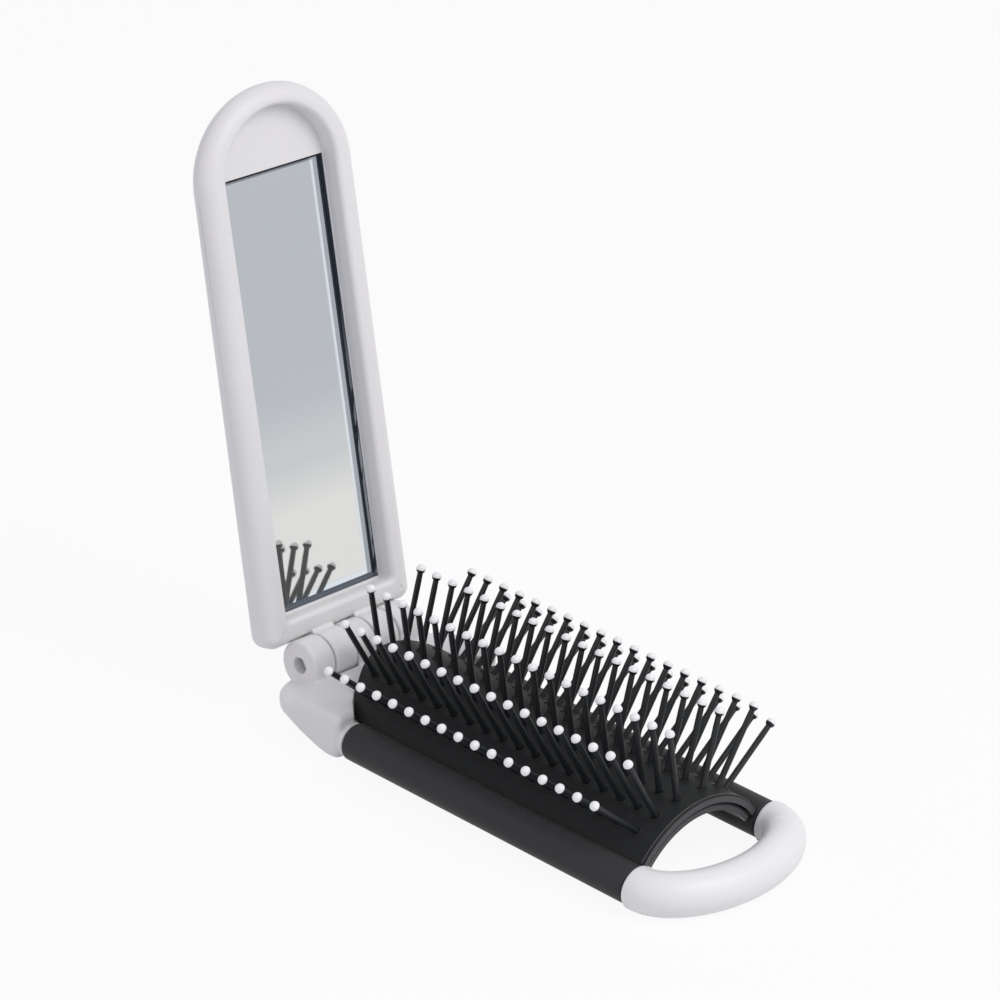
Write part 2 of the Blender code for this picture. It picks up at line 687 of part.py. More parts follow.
def main():
    """Build every piece."""
    clear_scene()
    white = finish("white_plastic", (0.80, 0.80, 0.79), 0.42)
    dark = finish("dark_plastic", (0.035, 0.035, 0.037), 0.48)
    build_block(white)
    build_arm(-1, "near", dark, white)
    build_arm(1, "far", dark, white)
    build_loop(white)
    build_bed(finish("dark_rubber", (0.022, 0.022, 0.023), 0.62))
    nylon = finish("pin_nylon", (0.03, 0.031, 0.033), 0.4)
    places = [(-1, row) for row in PIN_ROWS] + [(1, row) for row in reversed(PIN_ROWS)]
    for number, (side, row) in enumerate(places, 1):
        build_pin_row(number, row, side, nylon)
    build_hinge_pin(finish("steel", (0.62, 0.62, 0.63), 0.3, 1.0))
    build_lid(white)
    build_mirror(
        finish("mirror_glass", (0.86, 0.88, 0.90), 0.04),
        finish("silvering", (0.90, 0.91, 0.92), 0.06, 1.0),
        finish("adhesive", (0.55, 0.55, 0.52), 0.8),
    )
    stand_at_origin()


main()
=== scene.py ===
"""Looks of a folding pocket hair brush with a mirror lid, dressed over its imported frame.

The frame says where everything stands. Each sub-assembly is a class that holds its sizes in metres and
builds its own meshes, laid out as the part is: X from the hinge to the end loop, Y across, Z up, from the
point midway between the arms' axes at the hinge block's face. Finishes are frozen dataclasses.
"""
import logging
import math
from collections.abc import Callable, Sequence
from dataclasses import dataclass
from enum import Enum

import bmesh
import bpy
from mathutils import Matrix, Vector


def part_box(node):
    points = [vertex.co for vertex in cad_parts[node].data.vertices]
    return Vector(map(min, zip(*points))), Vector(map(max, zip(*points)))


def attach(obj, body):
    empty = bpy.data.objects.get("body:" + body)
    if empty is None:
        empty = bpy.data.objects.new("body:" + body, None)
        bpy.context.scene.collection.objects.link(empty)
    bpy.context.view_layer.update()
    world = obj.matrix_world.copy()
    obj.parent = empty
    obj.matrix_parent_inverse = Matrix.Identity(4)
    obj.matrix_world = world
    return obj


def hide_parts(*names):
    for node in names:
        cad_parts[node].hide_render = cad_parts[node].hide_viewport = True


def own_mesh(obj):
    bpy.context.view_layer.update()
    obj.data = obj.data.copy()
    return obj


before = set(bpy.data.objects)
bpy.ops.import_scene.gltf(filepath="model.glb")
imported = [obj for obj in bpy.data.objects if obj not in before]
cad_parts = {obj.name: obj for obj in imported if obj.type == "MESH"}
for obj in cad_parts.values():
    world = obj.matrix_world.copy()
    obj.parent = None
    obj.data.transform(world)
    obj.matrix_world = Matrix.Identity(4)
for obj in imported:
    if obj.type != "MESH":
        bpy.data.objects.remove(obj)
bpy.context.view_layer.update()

LOG = logging.getLogger("brush")
MM = 0.001
FIT = 0.3 * MM
OVERRUN = 2.0 * MM
WELD = 0.005 * MM
SHARP = 35.0
UP = Vector((0, 0, 1))
ALONG = Vector((1, 0, 0))
ACROSS = Vector((0, 1, 0))
Colour = tuple[float, float, float]


class Body(Enum):
    """The three bodies that pieces ride on."""

    FRAME = "frame"
    HINGE_PIN = "hinge_pin"
    LID = "lid"


class Side(Enum):
    """The two arms' sides of the brush."""

    NEAR = -1
    FAR = 1


class Value:
    """A node's output, which plain arithmetic turns into Math nodes."""

    def __init__(self, graph: "Graph", socket: bpy.types.NodeSocket) -> None:
        """Keep the socket and the graph that owns it."""
        self.graph = graph
        self.socket = socket

    def _math(self, operation: str, *operands: "Value | float") -> "Value":
        """Add one Math node.

        Args:
            operation: The Math node's operation.
            operands: Its inputs, in order.

        Returns:
            The node's result.
        """
        return self.graph.node("ShaderNodeMath", {"operation": operation}, dict(enumerate(operands)))

    def __add__(self, other: "Value | float") -> "Value":
        """Sum."""
        return self._math("ADD", self, other)

    def __sub__(self, other: "Value | float") -> "Value":
        """Difference."""
        return self._math("SUBTRACT", self, other)

    def __rsub__(self, other: float) -> "Value":
        """Difference from a number."""
        return self._math("SUBTRACT", other, self)

    def __mul__(self, other: "Value | float") -> "Value":
        """Product."""
        return self._math("MULTIPLY", self, other)

    def __truediv__(self, other: "Value | float") -> "Value":
        """Quotient."""
        return self._math("DIVIDE", self, other)

    __radd__ = __add__
    __rmul__ = __mul__

    def either(self, other: "Value") -> "Value":
        """The greater of two values."""
        return self._math("MAXIMUM", self, other)

    def less(self, other: "Value") -> "Value":
        """The lesser of two values."""
        return self._math("MINIMUM", self, other)

    def size(self) -> "Value":
        """The value without its sign."""
        return self._math("ABSOLUTE", self)

    def held(self, low: float = 0.0, high: float = 1.0) -> "Value":
        """The value kept between two limits."""
        return self._math("MINIMUM", self._math("MAXIMUM", self, low), high)


class Graph:
    """The nodes of one material or world, with one call that makes any node."""

    def __init__(self, tree: bpy.types.NodeTree) -> None:
        """Start from an empty tree."""
        self.tree = tree
        tree.nodes.clear()

    def node(
        self,
        kind: str,
        settings: dict[str, object] | None = None,
        sockets: dict[str | int, object] | None = None,
        output: str | int = 0,
    ) -> Value:
        """Make a node.

        Args:
            kind: The node's type.
            settings: What is set on the node first, such as its operation.
            sockets: Values or links of its inputs.
            output: The output that is wanted.

        Returns:
            That output.
        """
        made = self.tree.nodes.new(kind)
        for name, value in (settings or {}).items():
            setattr(made, name, value)
        for name, value in (sockets or {}).items():
            if isinstance(value, Value):
                self.tree.links.new(value.socket, made.inputs[name])
            else:
                made.inputs[name].default_value = value
        return Value(self, made.outputs[output])

    def place(self) -> Value:
        """Where a point of the surface lies on its piece, in metres."""
        return self.node("ShaderNodeTexCoord", output="Object")

    def noise(self, size: float, detail: float = 2.0, stretch: Colour = (1, 1, 1)) -> Value:
        """Smooth noise over the piece.

        Args:
            size: Width of one blotch in metres.
            detail: How many finer layers it has.
            stretch: How much the blotches are drawn out along each axis.

        Returns:
            The noise, from about 0.3 to 0.7.
        """
        squeeze = tuple(1 / s for s in stretch)
        where = self.node("ShaderNodeVectorMath", {"operation": "MULTIPLY"}, {0: self.place(), 1: squeeze})
        return self.node("ShaderNodeTexNoise", None, {"Vector": where, "Scale": 1 / size, "Detail": detail})

    def mix(self, factor: Value | float, first: Value | Colour, second: Value | Colour) -> Value:
        """Blend two colours.

        Args:
            factor: The second colour's share.
            first: The colour at share 0.
            second: The colour at share 1.

        Returns:
            The blend.
        """
        ends = {6: first, 7: second}
        ends = {k: v if isinstance(v, Value) else (*v, 1.0) for k, v in ends.items()}
        return self.node("ShaderNodeMix", {"data_type": "RGBA"}, {0: factor, **ends}, output=2)

    def rubbed(self, start: float = 0.52, slope: float = 12.0) -> Value:
        """A mask that rises on outer edges, where handling rubs them."""
        edge = self.node("ShaderNodeNewGeometry", output="Pointiness")
        return ((edge - start) * slope).held()

    def bump(self, height: Value, relief: float) -> Value:
        """A surface normal from a height, with its relief in metres."""
        return self.node("ShaderNodeBump", None, {"Strength": 1.0, "Distance": relief, "Height": height})

    def finish(self, kind: str, shader: Value) -> None:
        """Send a shader to the tree's output node."""
        made = self.tree.nodes.new(kind)
        self.tree.links.new(shader.socket, made.inputs["Surface"])


@dataclass(frozen=True)
class Finish:
    """What every finish has: a name and the record's slot that it stands for."""

    name: str
    slot: str

    def shader(self, graph: Graph) -> Value:
        """Write the finish's own nodes and return its shader."""
        raise NotImplementedError

    def material(self) -> bpy.types.Material:
        """The finish as a material, made once.

        Returns:
            The material.
        """
        made = bpy.data.materials.get(self.name)
        if made is None:
            made = bpy.data.materials.new(self.name)
            made.use_nodes = True
            graph = Graph(made.node_tree)
            graph.finish("ShaderNodeOutputMaterial", self.shader(graph))
        return made


@dataclass(frozen=True)
class MouldedPlastic(Finish):
    """Moulded plastic: faint mottling, fine grain, and edges that handling has rubbed."""

    colour: Colour
    rubbed_colour: Colour
    roughness: float
    mottle_share: float = 0.05
    mottle_size: float = 9 * MM
    grain: float = 0.25 * MM
    relief: float = 0.012 * MM
    rub: float = 0.5
    gloss: float = 0.5
    mottle_roughness: float = 0.1
    grain_roughness: float = 0.06

    def paint(self, graph: Graph) -> Value:
        """The plastic's colour: mottled, and paler where it is rubbed.

        Args:
            graph: The material's graph.

        Returns:
            The colour.
        """
        deeper = tuple(c * (1 - self.mottle_share) for c in self.colour)
        colour = graph.mix(graph.noise(self.mottle_size, detail=3), deeper, self.colour)
        return graph.mix(graph.rubbed() * self.rub, colour, self.rubbed_colour)

    def shader(self, graph: Graph) -> Value:
        """Write the plastic's nodes.

        Args:
            graph: The material's graph.

        Returns:
            The shader.
        """
        mottling = graph.noise(self.mottle_size, detail=3)
        grain = graph.noise(self.grain, detail=2)
        uneven = mottling * self.mottle_roughness + grain * self.grain_roughness
        smoothest = self.roughness - (self.mottle_roughness + self.grain_roughness) / 2
        return graph.node("ShaderNodeBsdfPrincipled", None, {
            "Base Color": self.paint(graph),
            "Roughness": uneven + smoothest,
            "Specular IOR Level": self.gloss,
            "Normal": graph.bump(grain, self.relief),
        })


@dataclass(frozen=True)
class LidPlastic(MouldedPlastic):
    """The lid's plastic, with the mirror's dark mastic in the pocket under its recess, partly painted shade, and a
    painted glint along it.
    """

    lie: "Lie | None" = None
    pocket_from: float = 0.0
    pocket_to: float = 0.0
    # Pocket colours: dark mastic that is partly painted shade, paler at the pocket's foot, and a painted glint.
    mastic_and_shade: Colour = (0.065, 0.08, 0.10)
    foot_mastic_and_shade: Colour = (0.23, 0.26, 0.30)
    glint: Colour = (0.78, 0.83, 0.84)
    glint_depth: float = 0.5 * MM
    glint_half: float = 0.36 * MM
    glint_gain: float = 2.0
    glint_break: float = 0.6 * MM
    glint_stretch: Colour = (1, 1, 9)
    glint_gaps: tuple[float, float] = (0.4, 0.48)
    glint_ends: tuple[float, float] = (0.3, 0.65)
    foot_zone: float = 0.95 * MM
    soft: float = 0.1 * MM

    def paint(self, graph: Graph) -> Value:
        """The plastic's colour, with dark mastic in the mirror's pocket that is partly painted shade, paler at the
        pocket's foot, and a painted glint along it.

        Args:
            graph: The material's graph.

        Returns:
            The colour.
        """
        along, across, depth = self.lie.measure(graph)
        sides = (self.pocket_from - depth).less(depth - self.pocket_to).less(self.lie.half - across.size())
        ends = (along - self.lie.foot).less(self.lie.top - along)
        inside = (sides.less(ends) / self.soft).held()
        share = ramp(along, self.lie.foot, self.lie.top)
        # Painted glint: a pale broken streak just under the recess floor, fading out towards the pocket's top.
        level = (depth - (self.pocket_from - self.glint_depth)).size()
        glint = ((1.0 - level / self.glint_half) * self.glint_gain).held() * (1.0 - ramp(share, *self.glint_ends))
        broken = graph.noise(self.glint_break, detail=3, stretch=self.glint_stretch)
        glint = glint * ramp(broken, *self.glint_gaps)
        mastic_and_shade = graph.mix(glint, self.mastic_and_shade, self.glint)
        # Near the pocket's foot the mastic and its painted shade are paler.
        at_foot = 1.0 - ((along - self.lie.foot - self.foot_zone) / self.soft).held()
        return graph.mix(inside, super().paint(graph), graph.mix(at_foot, mastic_and_shade, self.foot_mastic_and_shade))


@dataclass(frozen=True)
class Lie:
    """Where the mirror's pocket lies, so that a finish can tell its parts apart."""

    axis: Vector
    up: Vector
    out: Vector
    foot: float
    top: float
    half: float

    def measure(self, graph: Graph) -> list[Value]:
        """Where a surface point lies on the lid.

        Args:
            graph: The material's graph.

        Returns:
            The point's place along the lid, across it from the middle and in depth.
        """
        kind, dot = "ShaderNodeVectorMath", {"operation": "DOT_PRODUCT"}
        offset = graph.node(kind, {"operation": "SUBTRACT"}, {0: graph.place(), 1: self.axis})
        return [graph.node(kind, dot, {0: offset, 1: way}, output=1) for way in (self.up, ACROSS, self.out)]


@dataclass(frozen=True)
class MirrorGlass(Finish):
    """Silvered glass with painted reflections: darker towards the top, with paler painted reflection bands at the far
    and foot edges, a painted highlight line inside them, and faint wipe marks.
    """

    lie: Lie
    # Painted reflection colours: the glass at its foot, middle and top, the rim wall seen in its edges, and a
    # highlight line.
    foot_reflection_colour: Colour = (0.745, 0.743, 0.725)
    middle_reflection_colour: Colour = (0.581, 0.605, 0.617)
    top_reflection_colour: Colour = (0.50, 0.528, 0.562)
    wall_reflection_colour: Colour = (0.715, 0.78, 0.825)
    highlight_line_colour: Colour = (0.68, 0.71, 0.74)
    lower: tuple[float, float] = (0.205, 0.32)
    upper: tuple[float, float] = (0.36, 0.475)
    side_reflection_band: float = 1.7 * MM
    foot_reflection_band: float = 1.2 * MM
    # Width of the painted highlight line.
    line: float = 0.35 * MM
    edge_soft: float = 0.08 * MM
    wipe: float = 6 * MM
    wipe_stretch: Colour = (1, 1, 5)
    wipe_roughness: float = 0.03
    roughness: float = 0.015
    metallic: float = 0.9

    def shader(self, graph: Graph) -> Value:
        """Write the mirror's nodes.

        Args:
            graph: The material's graph.

        Returns:
            The shader.
        """
        along, across, _ = self.lie.measure(graph)
        # Painted reflection: the glass's colour darkens from the foot to the top.
        share = ramp(along, self.lie.foot, self.lie.top)
        colour = graph.mix(ramp(share, *self.lower), self.foot_reflection_colour, self.middle_reflection_colour)
        colour = graph.mix(ramp(share, *self.upper), colour, self.top_reflection_colour)
        # Painted reflection: paler bands along the far side and the foot paint the rim wall's reflection in the glass.
        inner = (self.lie.half - across - self.side_reflection_band).less(along - self.lie.foot - self.foot_reflection_band)
        # Painted highlight: a pale line just inside the painted reflection bands.
        colour = graph.mix((1.0 - inner / self.line).held(), colour, self.highlight_line_colour)
        colour = graph.mix(((0.0 - inner) / self.edge_soft).held(), colour, self.wall_reflection_colour)
        wiped = graph.noise(self.wipe, detail=4, stretch=self.wipe_stretch)
        return graph.node("ShaderNodeBsdfPrincipled", None, {
            "Base Color": colour,
            "Roughness": wiped * self.wipe_roughness + self.roughness,
            "Metallic": self.metallic,
        })


@dataclass(frozen=True)
class DrawnMetal(Finish):
    """Bare metal with fine lines along one axis."""

    colour: Colour
    roughness: float
    stretch: Colour = (1, 30, 1)
    line: float = 0.1 * MM
    line_shade: float = 0.86
    line_roughness: float = 0.18
    relief: float = 0.004 * MM

    def shader(self, graph: Graph) -> Value:
        """Write the metal's nodes.

        Args:
            graph: The material's graph.

        Returns:
            The shader.
        """
        lines = graph.noise(self.line, detail=3, stretch=self.stretch)
        deeper = tuple(c * self.line_shade for c in self.colour)
        return graph.node("ShaderNodeBsdfPrincipled", None, {
            "Base Color": graph.mix(lines, deeper, self.colour),
            "Roughness": lines * self.line_roughness + self.roughness,
            "Metallic": 1.0,
            "Normal": graph.bump(lines, self.relief),
        })


@dataclass(frozen=True)
class StudioWhite(Finish):
    """The floor: white to the camera and in reflections, and it keeps the object's shadow."""

    paint: float = 0.8
    glow_share: float = 0.92

    def shader(self, graph: Graph) -> Value:
        """Write the floor's nodes.

        Args:
            graph: The material's graph.

        Returns:
            The shader.
        """
        painted = graph.node("ShaderNodeBsdfDiffuse", None, {"Color": (self.paint,) * 3 + (1,)})
        glow = graph.node("ShaderNodeEmission", None, {"Color": (1, 1, 1, 1), "Strength": 1.0})
        share = seen_directly(graph) * self.glow_share
        return graph.node("ShaderNodeMixShader", None, {0: share, 1: painted, 2: glow})


def ramp(value: Value, low: float, high: float) -> Value:
    """A value's rise from 0 at one number to 1 at another."""
    return ((value - low) / (high - low)).held()


def seen_directly(graph: Graph) -> Value:
    """1 for camera, glossy and transmission rays, else 0."""
    rays = [graph.node("ShaderNodeLightPath", output=f"Is {r} Ray") for r in ("Camera", "Glossy", "Transmission")]
    return rays[0].either(rays[1]).either(rays[2])


WHITE = MouldedPlastic("white_moulded", "white_plastic", (0.82, 0.815, 0.81), (0.86, 0.86, 0.85), 0.38, gloss=0.35)
LOOP_WHITE = MouldedPlastic(
    "loop_moulded", "white_plastic", (0.88, 0.88, 0.875), (0.92, 0.92, 0.92), 0.36, gloss=0.35)
ARM_DARK = MouldedPlastic(
    "arm_moulded", "dark_plastic", (0.042, 0.043, 0.044), (0.065, 0.066, 0.067), 0.5, relief=0.02 * MM, rub=0.3,
    gloss=0.12)
BED_DARK = MouldedPlastic(
    "bed_moulded", "bed_plastic", (0.0165, 0.0178, 0.0184), (0.03, 0.031, 0.032), 0.55, relief=0.03 * MM, rub=0.3,
    gloss=0.14)
# Paler than the bed: partly the cut edges' own glossy rubber, partly a painted highlight where their end faces catch
# the light.
EDGE_RUBBER_AND_HIGHLIGHT = MouldedPlastic(
    "bed_cut_edge_painted_highlight", "bed_plastic", (0.062, 0.066, 0.068), (0.10, 0.104, 0.106), 0.34, mottle_share=0.35,
    mottle_size=2 * MM, relief=0.06 * MM, gloss=0.4)
PIN_BLACK = MouldedPlastic(
    "pin_nylon_black", "pin_nylon", (0.016, 0.018, 0.02), (0.03, 0.031, 0.032), 0.34, rub=0.2, gloss=0.3)
TIP_WHITE = MouldedPlastic("tip_white", "white_plastic", (0.94, 0.96, 0.95), (0.95, 0.96, 0.96), 0.3, rub=0.0)
CORE_WHITE = MouldedPlastic("core_white", "white_plastic", (0.78, 0.78, 0.77), (0.84, 0.84, 0.83), 0.4)
TAPE = MouldedPlastic("adhesive_sheet", "adhesive", (0.55, 0.54, 0.5), (0.6, 0.6, 0.56), 0.8, mottle_share=0.15)
STEEL = DrawnMetal("drawn_steel", "steel", (0.62, 0.62, 0.63), 0.22)
SILVER = DrawnMetal("silvering", "silvering", (0.9, 0.91, 0.92), 0.03, stretch=(6, 1, 6))


def origin() -> Vector:
    """The layout's own origin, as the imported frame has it.

    Returns:
        The point midway between the arms' axes at the hinge block's face.
    """
    low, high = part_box("arm_sleeve_near")
    return Vector((low.x - Arms().start, 0, (low.z + high.z) / 2))


def circle(centre: Vector, first: Vector, second: Vector, radius: float, sides: int) -> list[Vector]:
    """Points of a circle in the plane of two unit vectors."""
    turns = [2 * math.pi * i / sides for i in range(sides)]
    return [centre + radius * (first * math.cos(t) + second * math.sin(t)) for t in turns]


def skin(
    bm: bmesh.types.BMesh, rings: Sequence[Sequence[Vector]], closed: bool = False,
) -> bmesh.types.BMesh:
    """Skin a run of rings of equal length.

    Args:
        bm: The mesh that the skin is added to.
        rings: Closed rings of points, in order.
        closed: Whether the last ring joins the first; otherwise both ends are capped.

    Returns:
        The mesh.
    """
    rows = [[bm.verts.new(p) for p in ring] for ring in rings]
    count = len(rows[0])
    for low, high in zip(rows, rows[1:] + (rows[:1] if closed else [])):
        for i in range(count):
            j = (i + 1) % count
            bm.faces.new((low[i], low[j], high[j], high[i]))
    if not closed:
        bm.faces.new(rows[0][::-1])
        bm.faces.new(rows[-1])
    return bm


def loft(rings: Sequence[Sequence[Vector]]) -> bmesh.types.BMesh:
    """A closed solid skinned over rings."""
    return skin(bmesh.new(), rings)


def quarter(steps: int) -> list[float]:
    """Angles of a quarter turn in equal steps."""
    return [math.pi / 2 * k / steps for k in range(steps + 1)]


def rim(ease: float, steps: int = 5) -> list[tuple[float, float]]:
    """Steps round a rounded rim, from the end face inwards.

    Args:
        ease: Radius of the rounding.
        steps: Parts of the rounding.

    Returns:
        Distance from the end face and how far the surface is drawn in there.
    """
    return [(ease * (1 - math.sin(t)), ease * (1 - math.cos(t))) for t in reversed(quarter(steps))]


def eased(start: float, end: float, ease: float) -> list[tuple[float, float]]:
    """Stations along a piece with rounded rims.

    Args:
        start: Where the piece starts.
        end: Where it ends.
        ease: Radius of the rounding at each rim.

    Returns:
        Each station's place and how far the surface is drawn in there.
    """
    steps = rim(ease) if ease else [(0.0, 0.0)]
    return [(start + s, i) for s, i in steps] + [(end - s, i) for s, i in reversed(steps)]


def rod(start: Vector, end: Vector, radius: float, ease: float = 0.0, sides: int = 64) -> bmesh.types.BMesh:
    """A round bar with rounded rims.

    Args:
        start: Middle of one end.
        end: Middle of the other end.
        radius: Its radius.
        ease: Radius of the rounding at each rim.
        sides: Points round it.

    Returns:
        The bar.
    """
    axis = (end - start).normalized()
    first = axis.orthogonal().normalized()
    second = axis.cross(first)
    stations = eased(0.0, (end - start).length, ease)
    return loft([circle(start + axis * s, first, second, radius - i, sides) for s, i in stations])


def add_object(name: str, data: bpy.types.ID) -> bpy.types.Object:
    """Put a new object into the scene.

    Args:
        name: The object's name.
        data: Its mesh, camera or lamp.

    Returns:
        The object.
    """
    obj = bpy.data.objects.new(name, data)
    bpy.context.scene.collection.objects.link(obj)
    return obj


def new_object(name: str, bm: bmesh.types.BMesh, sharp: float = SHARP) -> bpy.types.Object:
    """Turn a bmesh into a named object, smooth where it is round.

    Args:
        name: The object's name.
        bm: Its mesh, which is used up.
        sharp: Edges that turn by more than this many degrees stay sharp.

    Returns:
        The object.
    """
    bmesh.ops.recalc_face_normals(bm, faces=bm.faces)
    mesh = bpy.data.meshes.new(name)
    bm.to_mesh(mesh)
    bm.free()
    mesh.shade_smooth()
    mesh.set_sharp_from_angle(angle=math.radians(sharp))
    return add_object(name, mesh)


def settle(obj: bpy.types.Object) -> None:
    """Apply an object's modifiers to its mesh.

    Args:
        obj: The object.
    """
    graph = bpy.context.evaluated_depsgraph_get()
    mesh = bpy.data.meshes.new_from_object(obj.evaluated_get(graph))
    obj.modifiers.clear()
    obj.data = mesh


def combine(
    obj: bpy.types.Object, operation: str, tools: Sequence[bmesh.types.BMesh], sharp: float = SHARP,
) -> None:
    """Cut or join tool shapes with exact booleans.

    Args:
        obj: The object that is changed.
        operation: The boolean's operation.
        tools: The shapes, which are used up.
        sharp: Edges that turn by more than this many degrees stay sharp.
    """
    for shape in tools:
        tool = new_object("tool", shape)
        modifier = obj.modifiers.new("boolean", "BOOLEAN")
        modifier.operation = operation
        modifier.solver = "EXACT"
        modifier.object = tool
        settle(obj)
        bpy.data.objects.remove(tool, do_unlink=True)
    bm = bmesh.new()
    bm.from_mesh(obj.data)
    bmesh.ops.remove_doubles(bm, verts=bm.verts, dist=WELD)
    bmesh.ops.dissolve_degenerate(bm, edges=bm.edges, dist=WELD)
    bm.to_mesh(obj.data)
    bm.free()
    obj.data.set_sharp_from_angle(angle=math.radians(sharp))


def soften(obj: bpy.types.Object, voxel: float, passes: int) -> None:
    """Melt a built-up solid into one moulded skin with rounded edges and filled corners.

    Args:
        obj: The object.
        voxel: Size of the skin's faces.
        passes: How far edges are rounded.
    """
    remesh = obj.modifiers.new("moulded", "REMESH")
    remesh.mode = "VOXEL"
    remesh.voxel_size = voxel
    remesh.use_smooth_shade = True
    smooth = obj.modifiers.new("rounded", "SMOOTH")
    smooth.factor = 0.5
    smooth.iterations = passes
    settle(obj)


def dress(obj: bpy.types.Object, finish: Finish, body: Body, *nodes: str) -> bpy.types.Object:
    """Give a built piece its place, finish and body.

    Args:
        obj: The piece, laid out from the layout's own origin.
        finish: Its finish.
        body: The body that it rides on.
        nodes: The CAD nodes that it stands for.

    Returns:
        The piece.
    """
    obj.data.transform(Matrix.Translation(origin()))
    obj.data.materials.clear()
    obj.data.materials.append(finish.material())
    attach(obj, body.value)
    if nodes:
        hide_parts(*nodes)
    LOG.info("%s: %d faces, %s, on %s", obj.name, len(obj.data.polygons), finish.name, body.value)
    return obj


def repaint(node: str, finish: Finish) -> None:
    """Give a carried-over CAD node its finish.

    Args:
        node: The node's name.
        finish: Its finish.
    """
    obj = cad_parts[node]
    for slot in obj.material_slots:
        slot.material = finish.material()
    LOG.info("%s: the frame's own, %s", node, finish.name)


@dataclass(frozen=True)
class Arms:
    """The two dark sleeves on their white cores."""

    radius: float = 3.25 * MM
    spread: float = 15.75 * MM
    start: float = 0.9 * MM
    length: float = 62.4 * MM
    core_radius: float = 1.5 * MM
    ease: float = 0.35 * MM

    @property
    def end(self) -> float:
        """Where the sleeves end."""
        return self.start + self.length

    def point(self, side: Side, x: float) -> Vector:
        """A point on one arm's axis."""
        return Vector((x, side.value * self.spread, 0))

    def bar(self, side: Side, start: float, end: float, radius: float, ease: float = 0.0) -> bmesh.types.BMesh:
        """A round bar on one arm's axis."""
        return rod(self.point(side, start), self.point(side, end), radius, ease)

    def build(self) -> None:
        """Build both sleeves and finish the cores."""
        for side in Side:
            label = side.name.lower()
            sleeve = new_object("sleeve_" + label, self.bar(side, self.start, self.end, self.radius, self.ease))
            bore = self.bar(side, self.start - OVERRUN, self.end + OVERRUN, self.core_radius + FIT)
            combine(sleeve, "DIFFERENCE", [bore])
            dress(sleeve, ARM_DARK, Body.FRAME, "arm_sleeve_" + label)
            repaint("arm_core_" + label, CORE_WHITE)


@dataclass(frozen=True)
class EndLoop:
    """The fat white tube that joins the arms' ends."""

    arms: Arms
    radius: float = 3.65 * MM
    straight: float = 0.8 * MM
    depth: float = 8.75 * MM
    ease: float = 0.5 * MM
    bend_steps: int = 96
    sides: int = 48

    def path(self) -> list[tuple[Vector, Vector, float]]:
        """The tube's course.

        Returns:
            Points along the tube, its direction there and how far its rim is drawn in.
        """
        start, spread = self.arms.end + FIT, self.arms.spread
        entry = [(self.arms.point(Side.NEAR, start + x), ALONG, inset) for x, inset in rim(self.ease)]
        leave = [(self.arms.point(Side.FAR, start + x), -ALONG, inset) for x, inset in reversed(rim(self.ease))]
        bow = []
        for k in range(self.bend_steps + 1):
            turn = math.pi * k / self.bend_steps
            here = Vector((start + self.straight + self.depth * math.sin(turn), -spread * math.cos(turn), 0))
            along = Vector((self.depth * math.cos(turn), spread * math.sin(turn), 0)).normalized()
            bow.append((here, along, 0.0))
        return entry + bow + leave

    def build(self) -> None:
        """Build the loop."""
        rings = [circle(p, t.cross(UP), UP, self.radius - i, self.sides) for p, t, i in self.path()]
        dress(new_object("loop", loft(rings)), LOOP_WHITE, Body.FRAME, "end_loop")


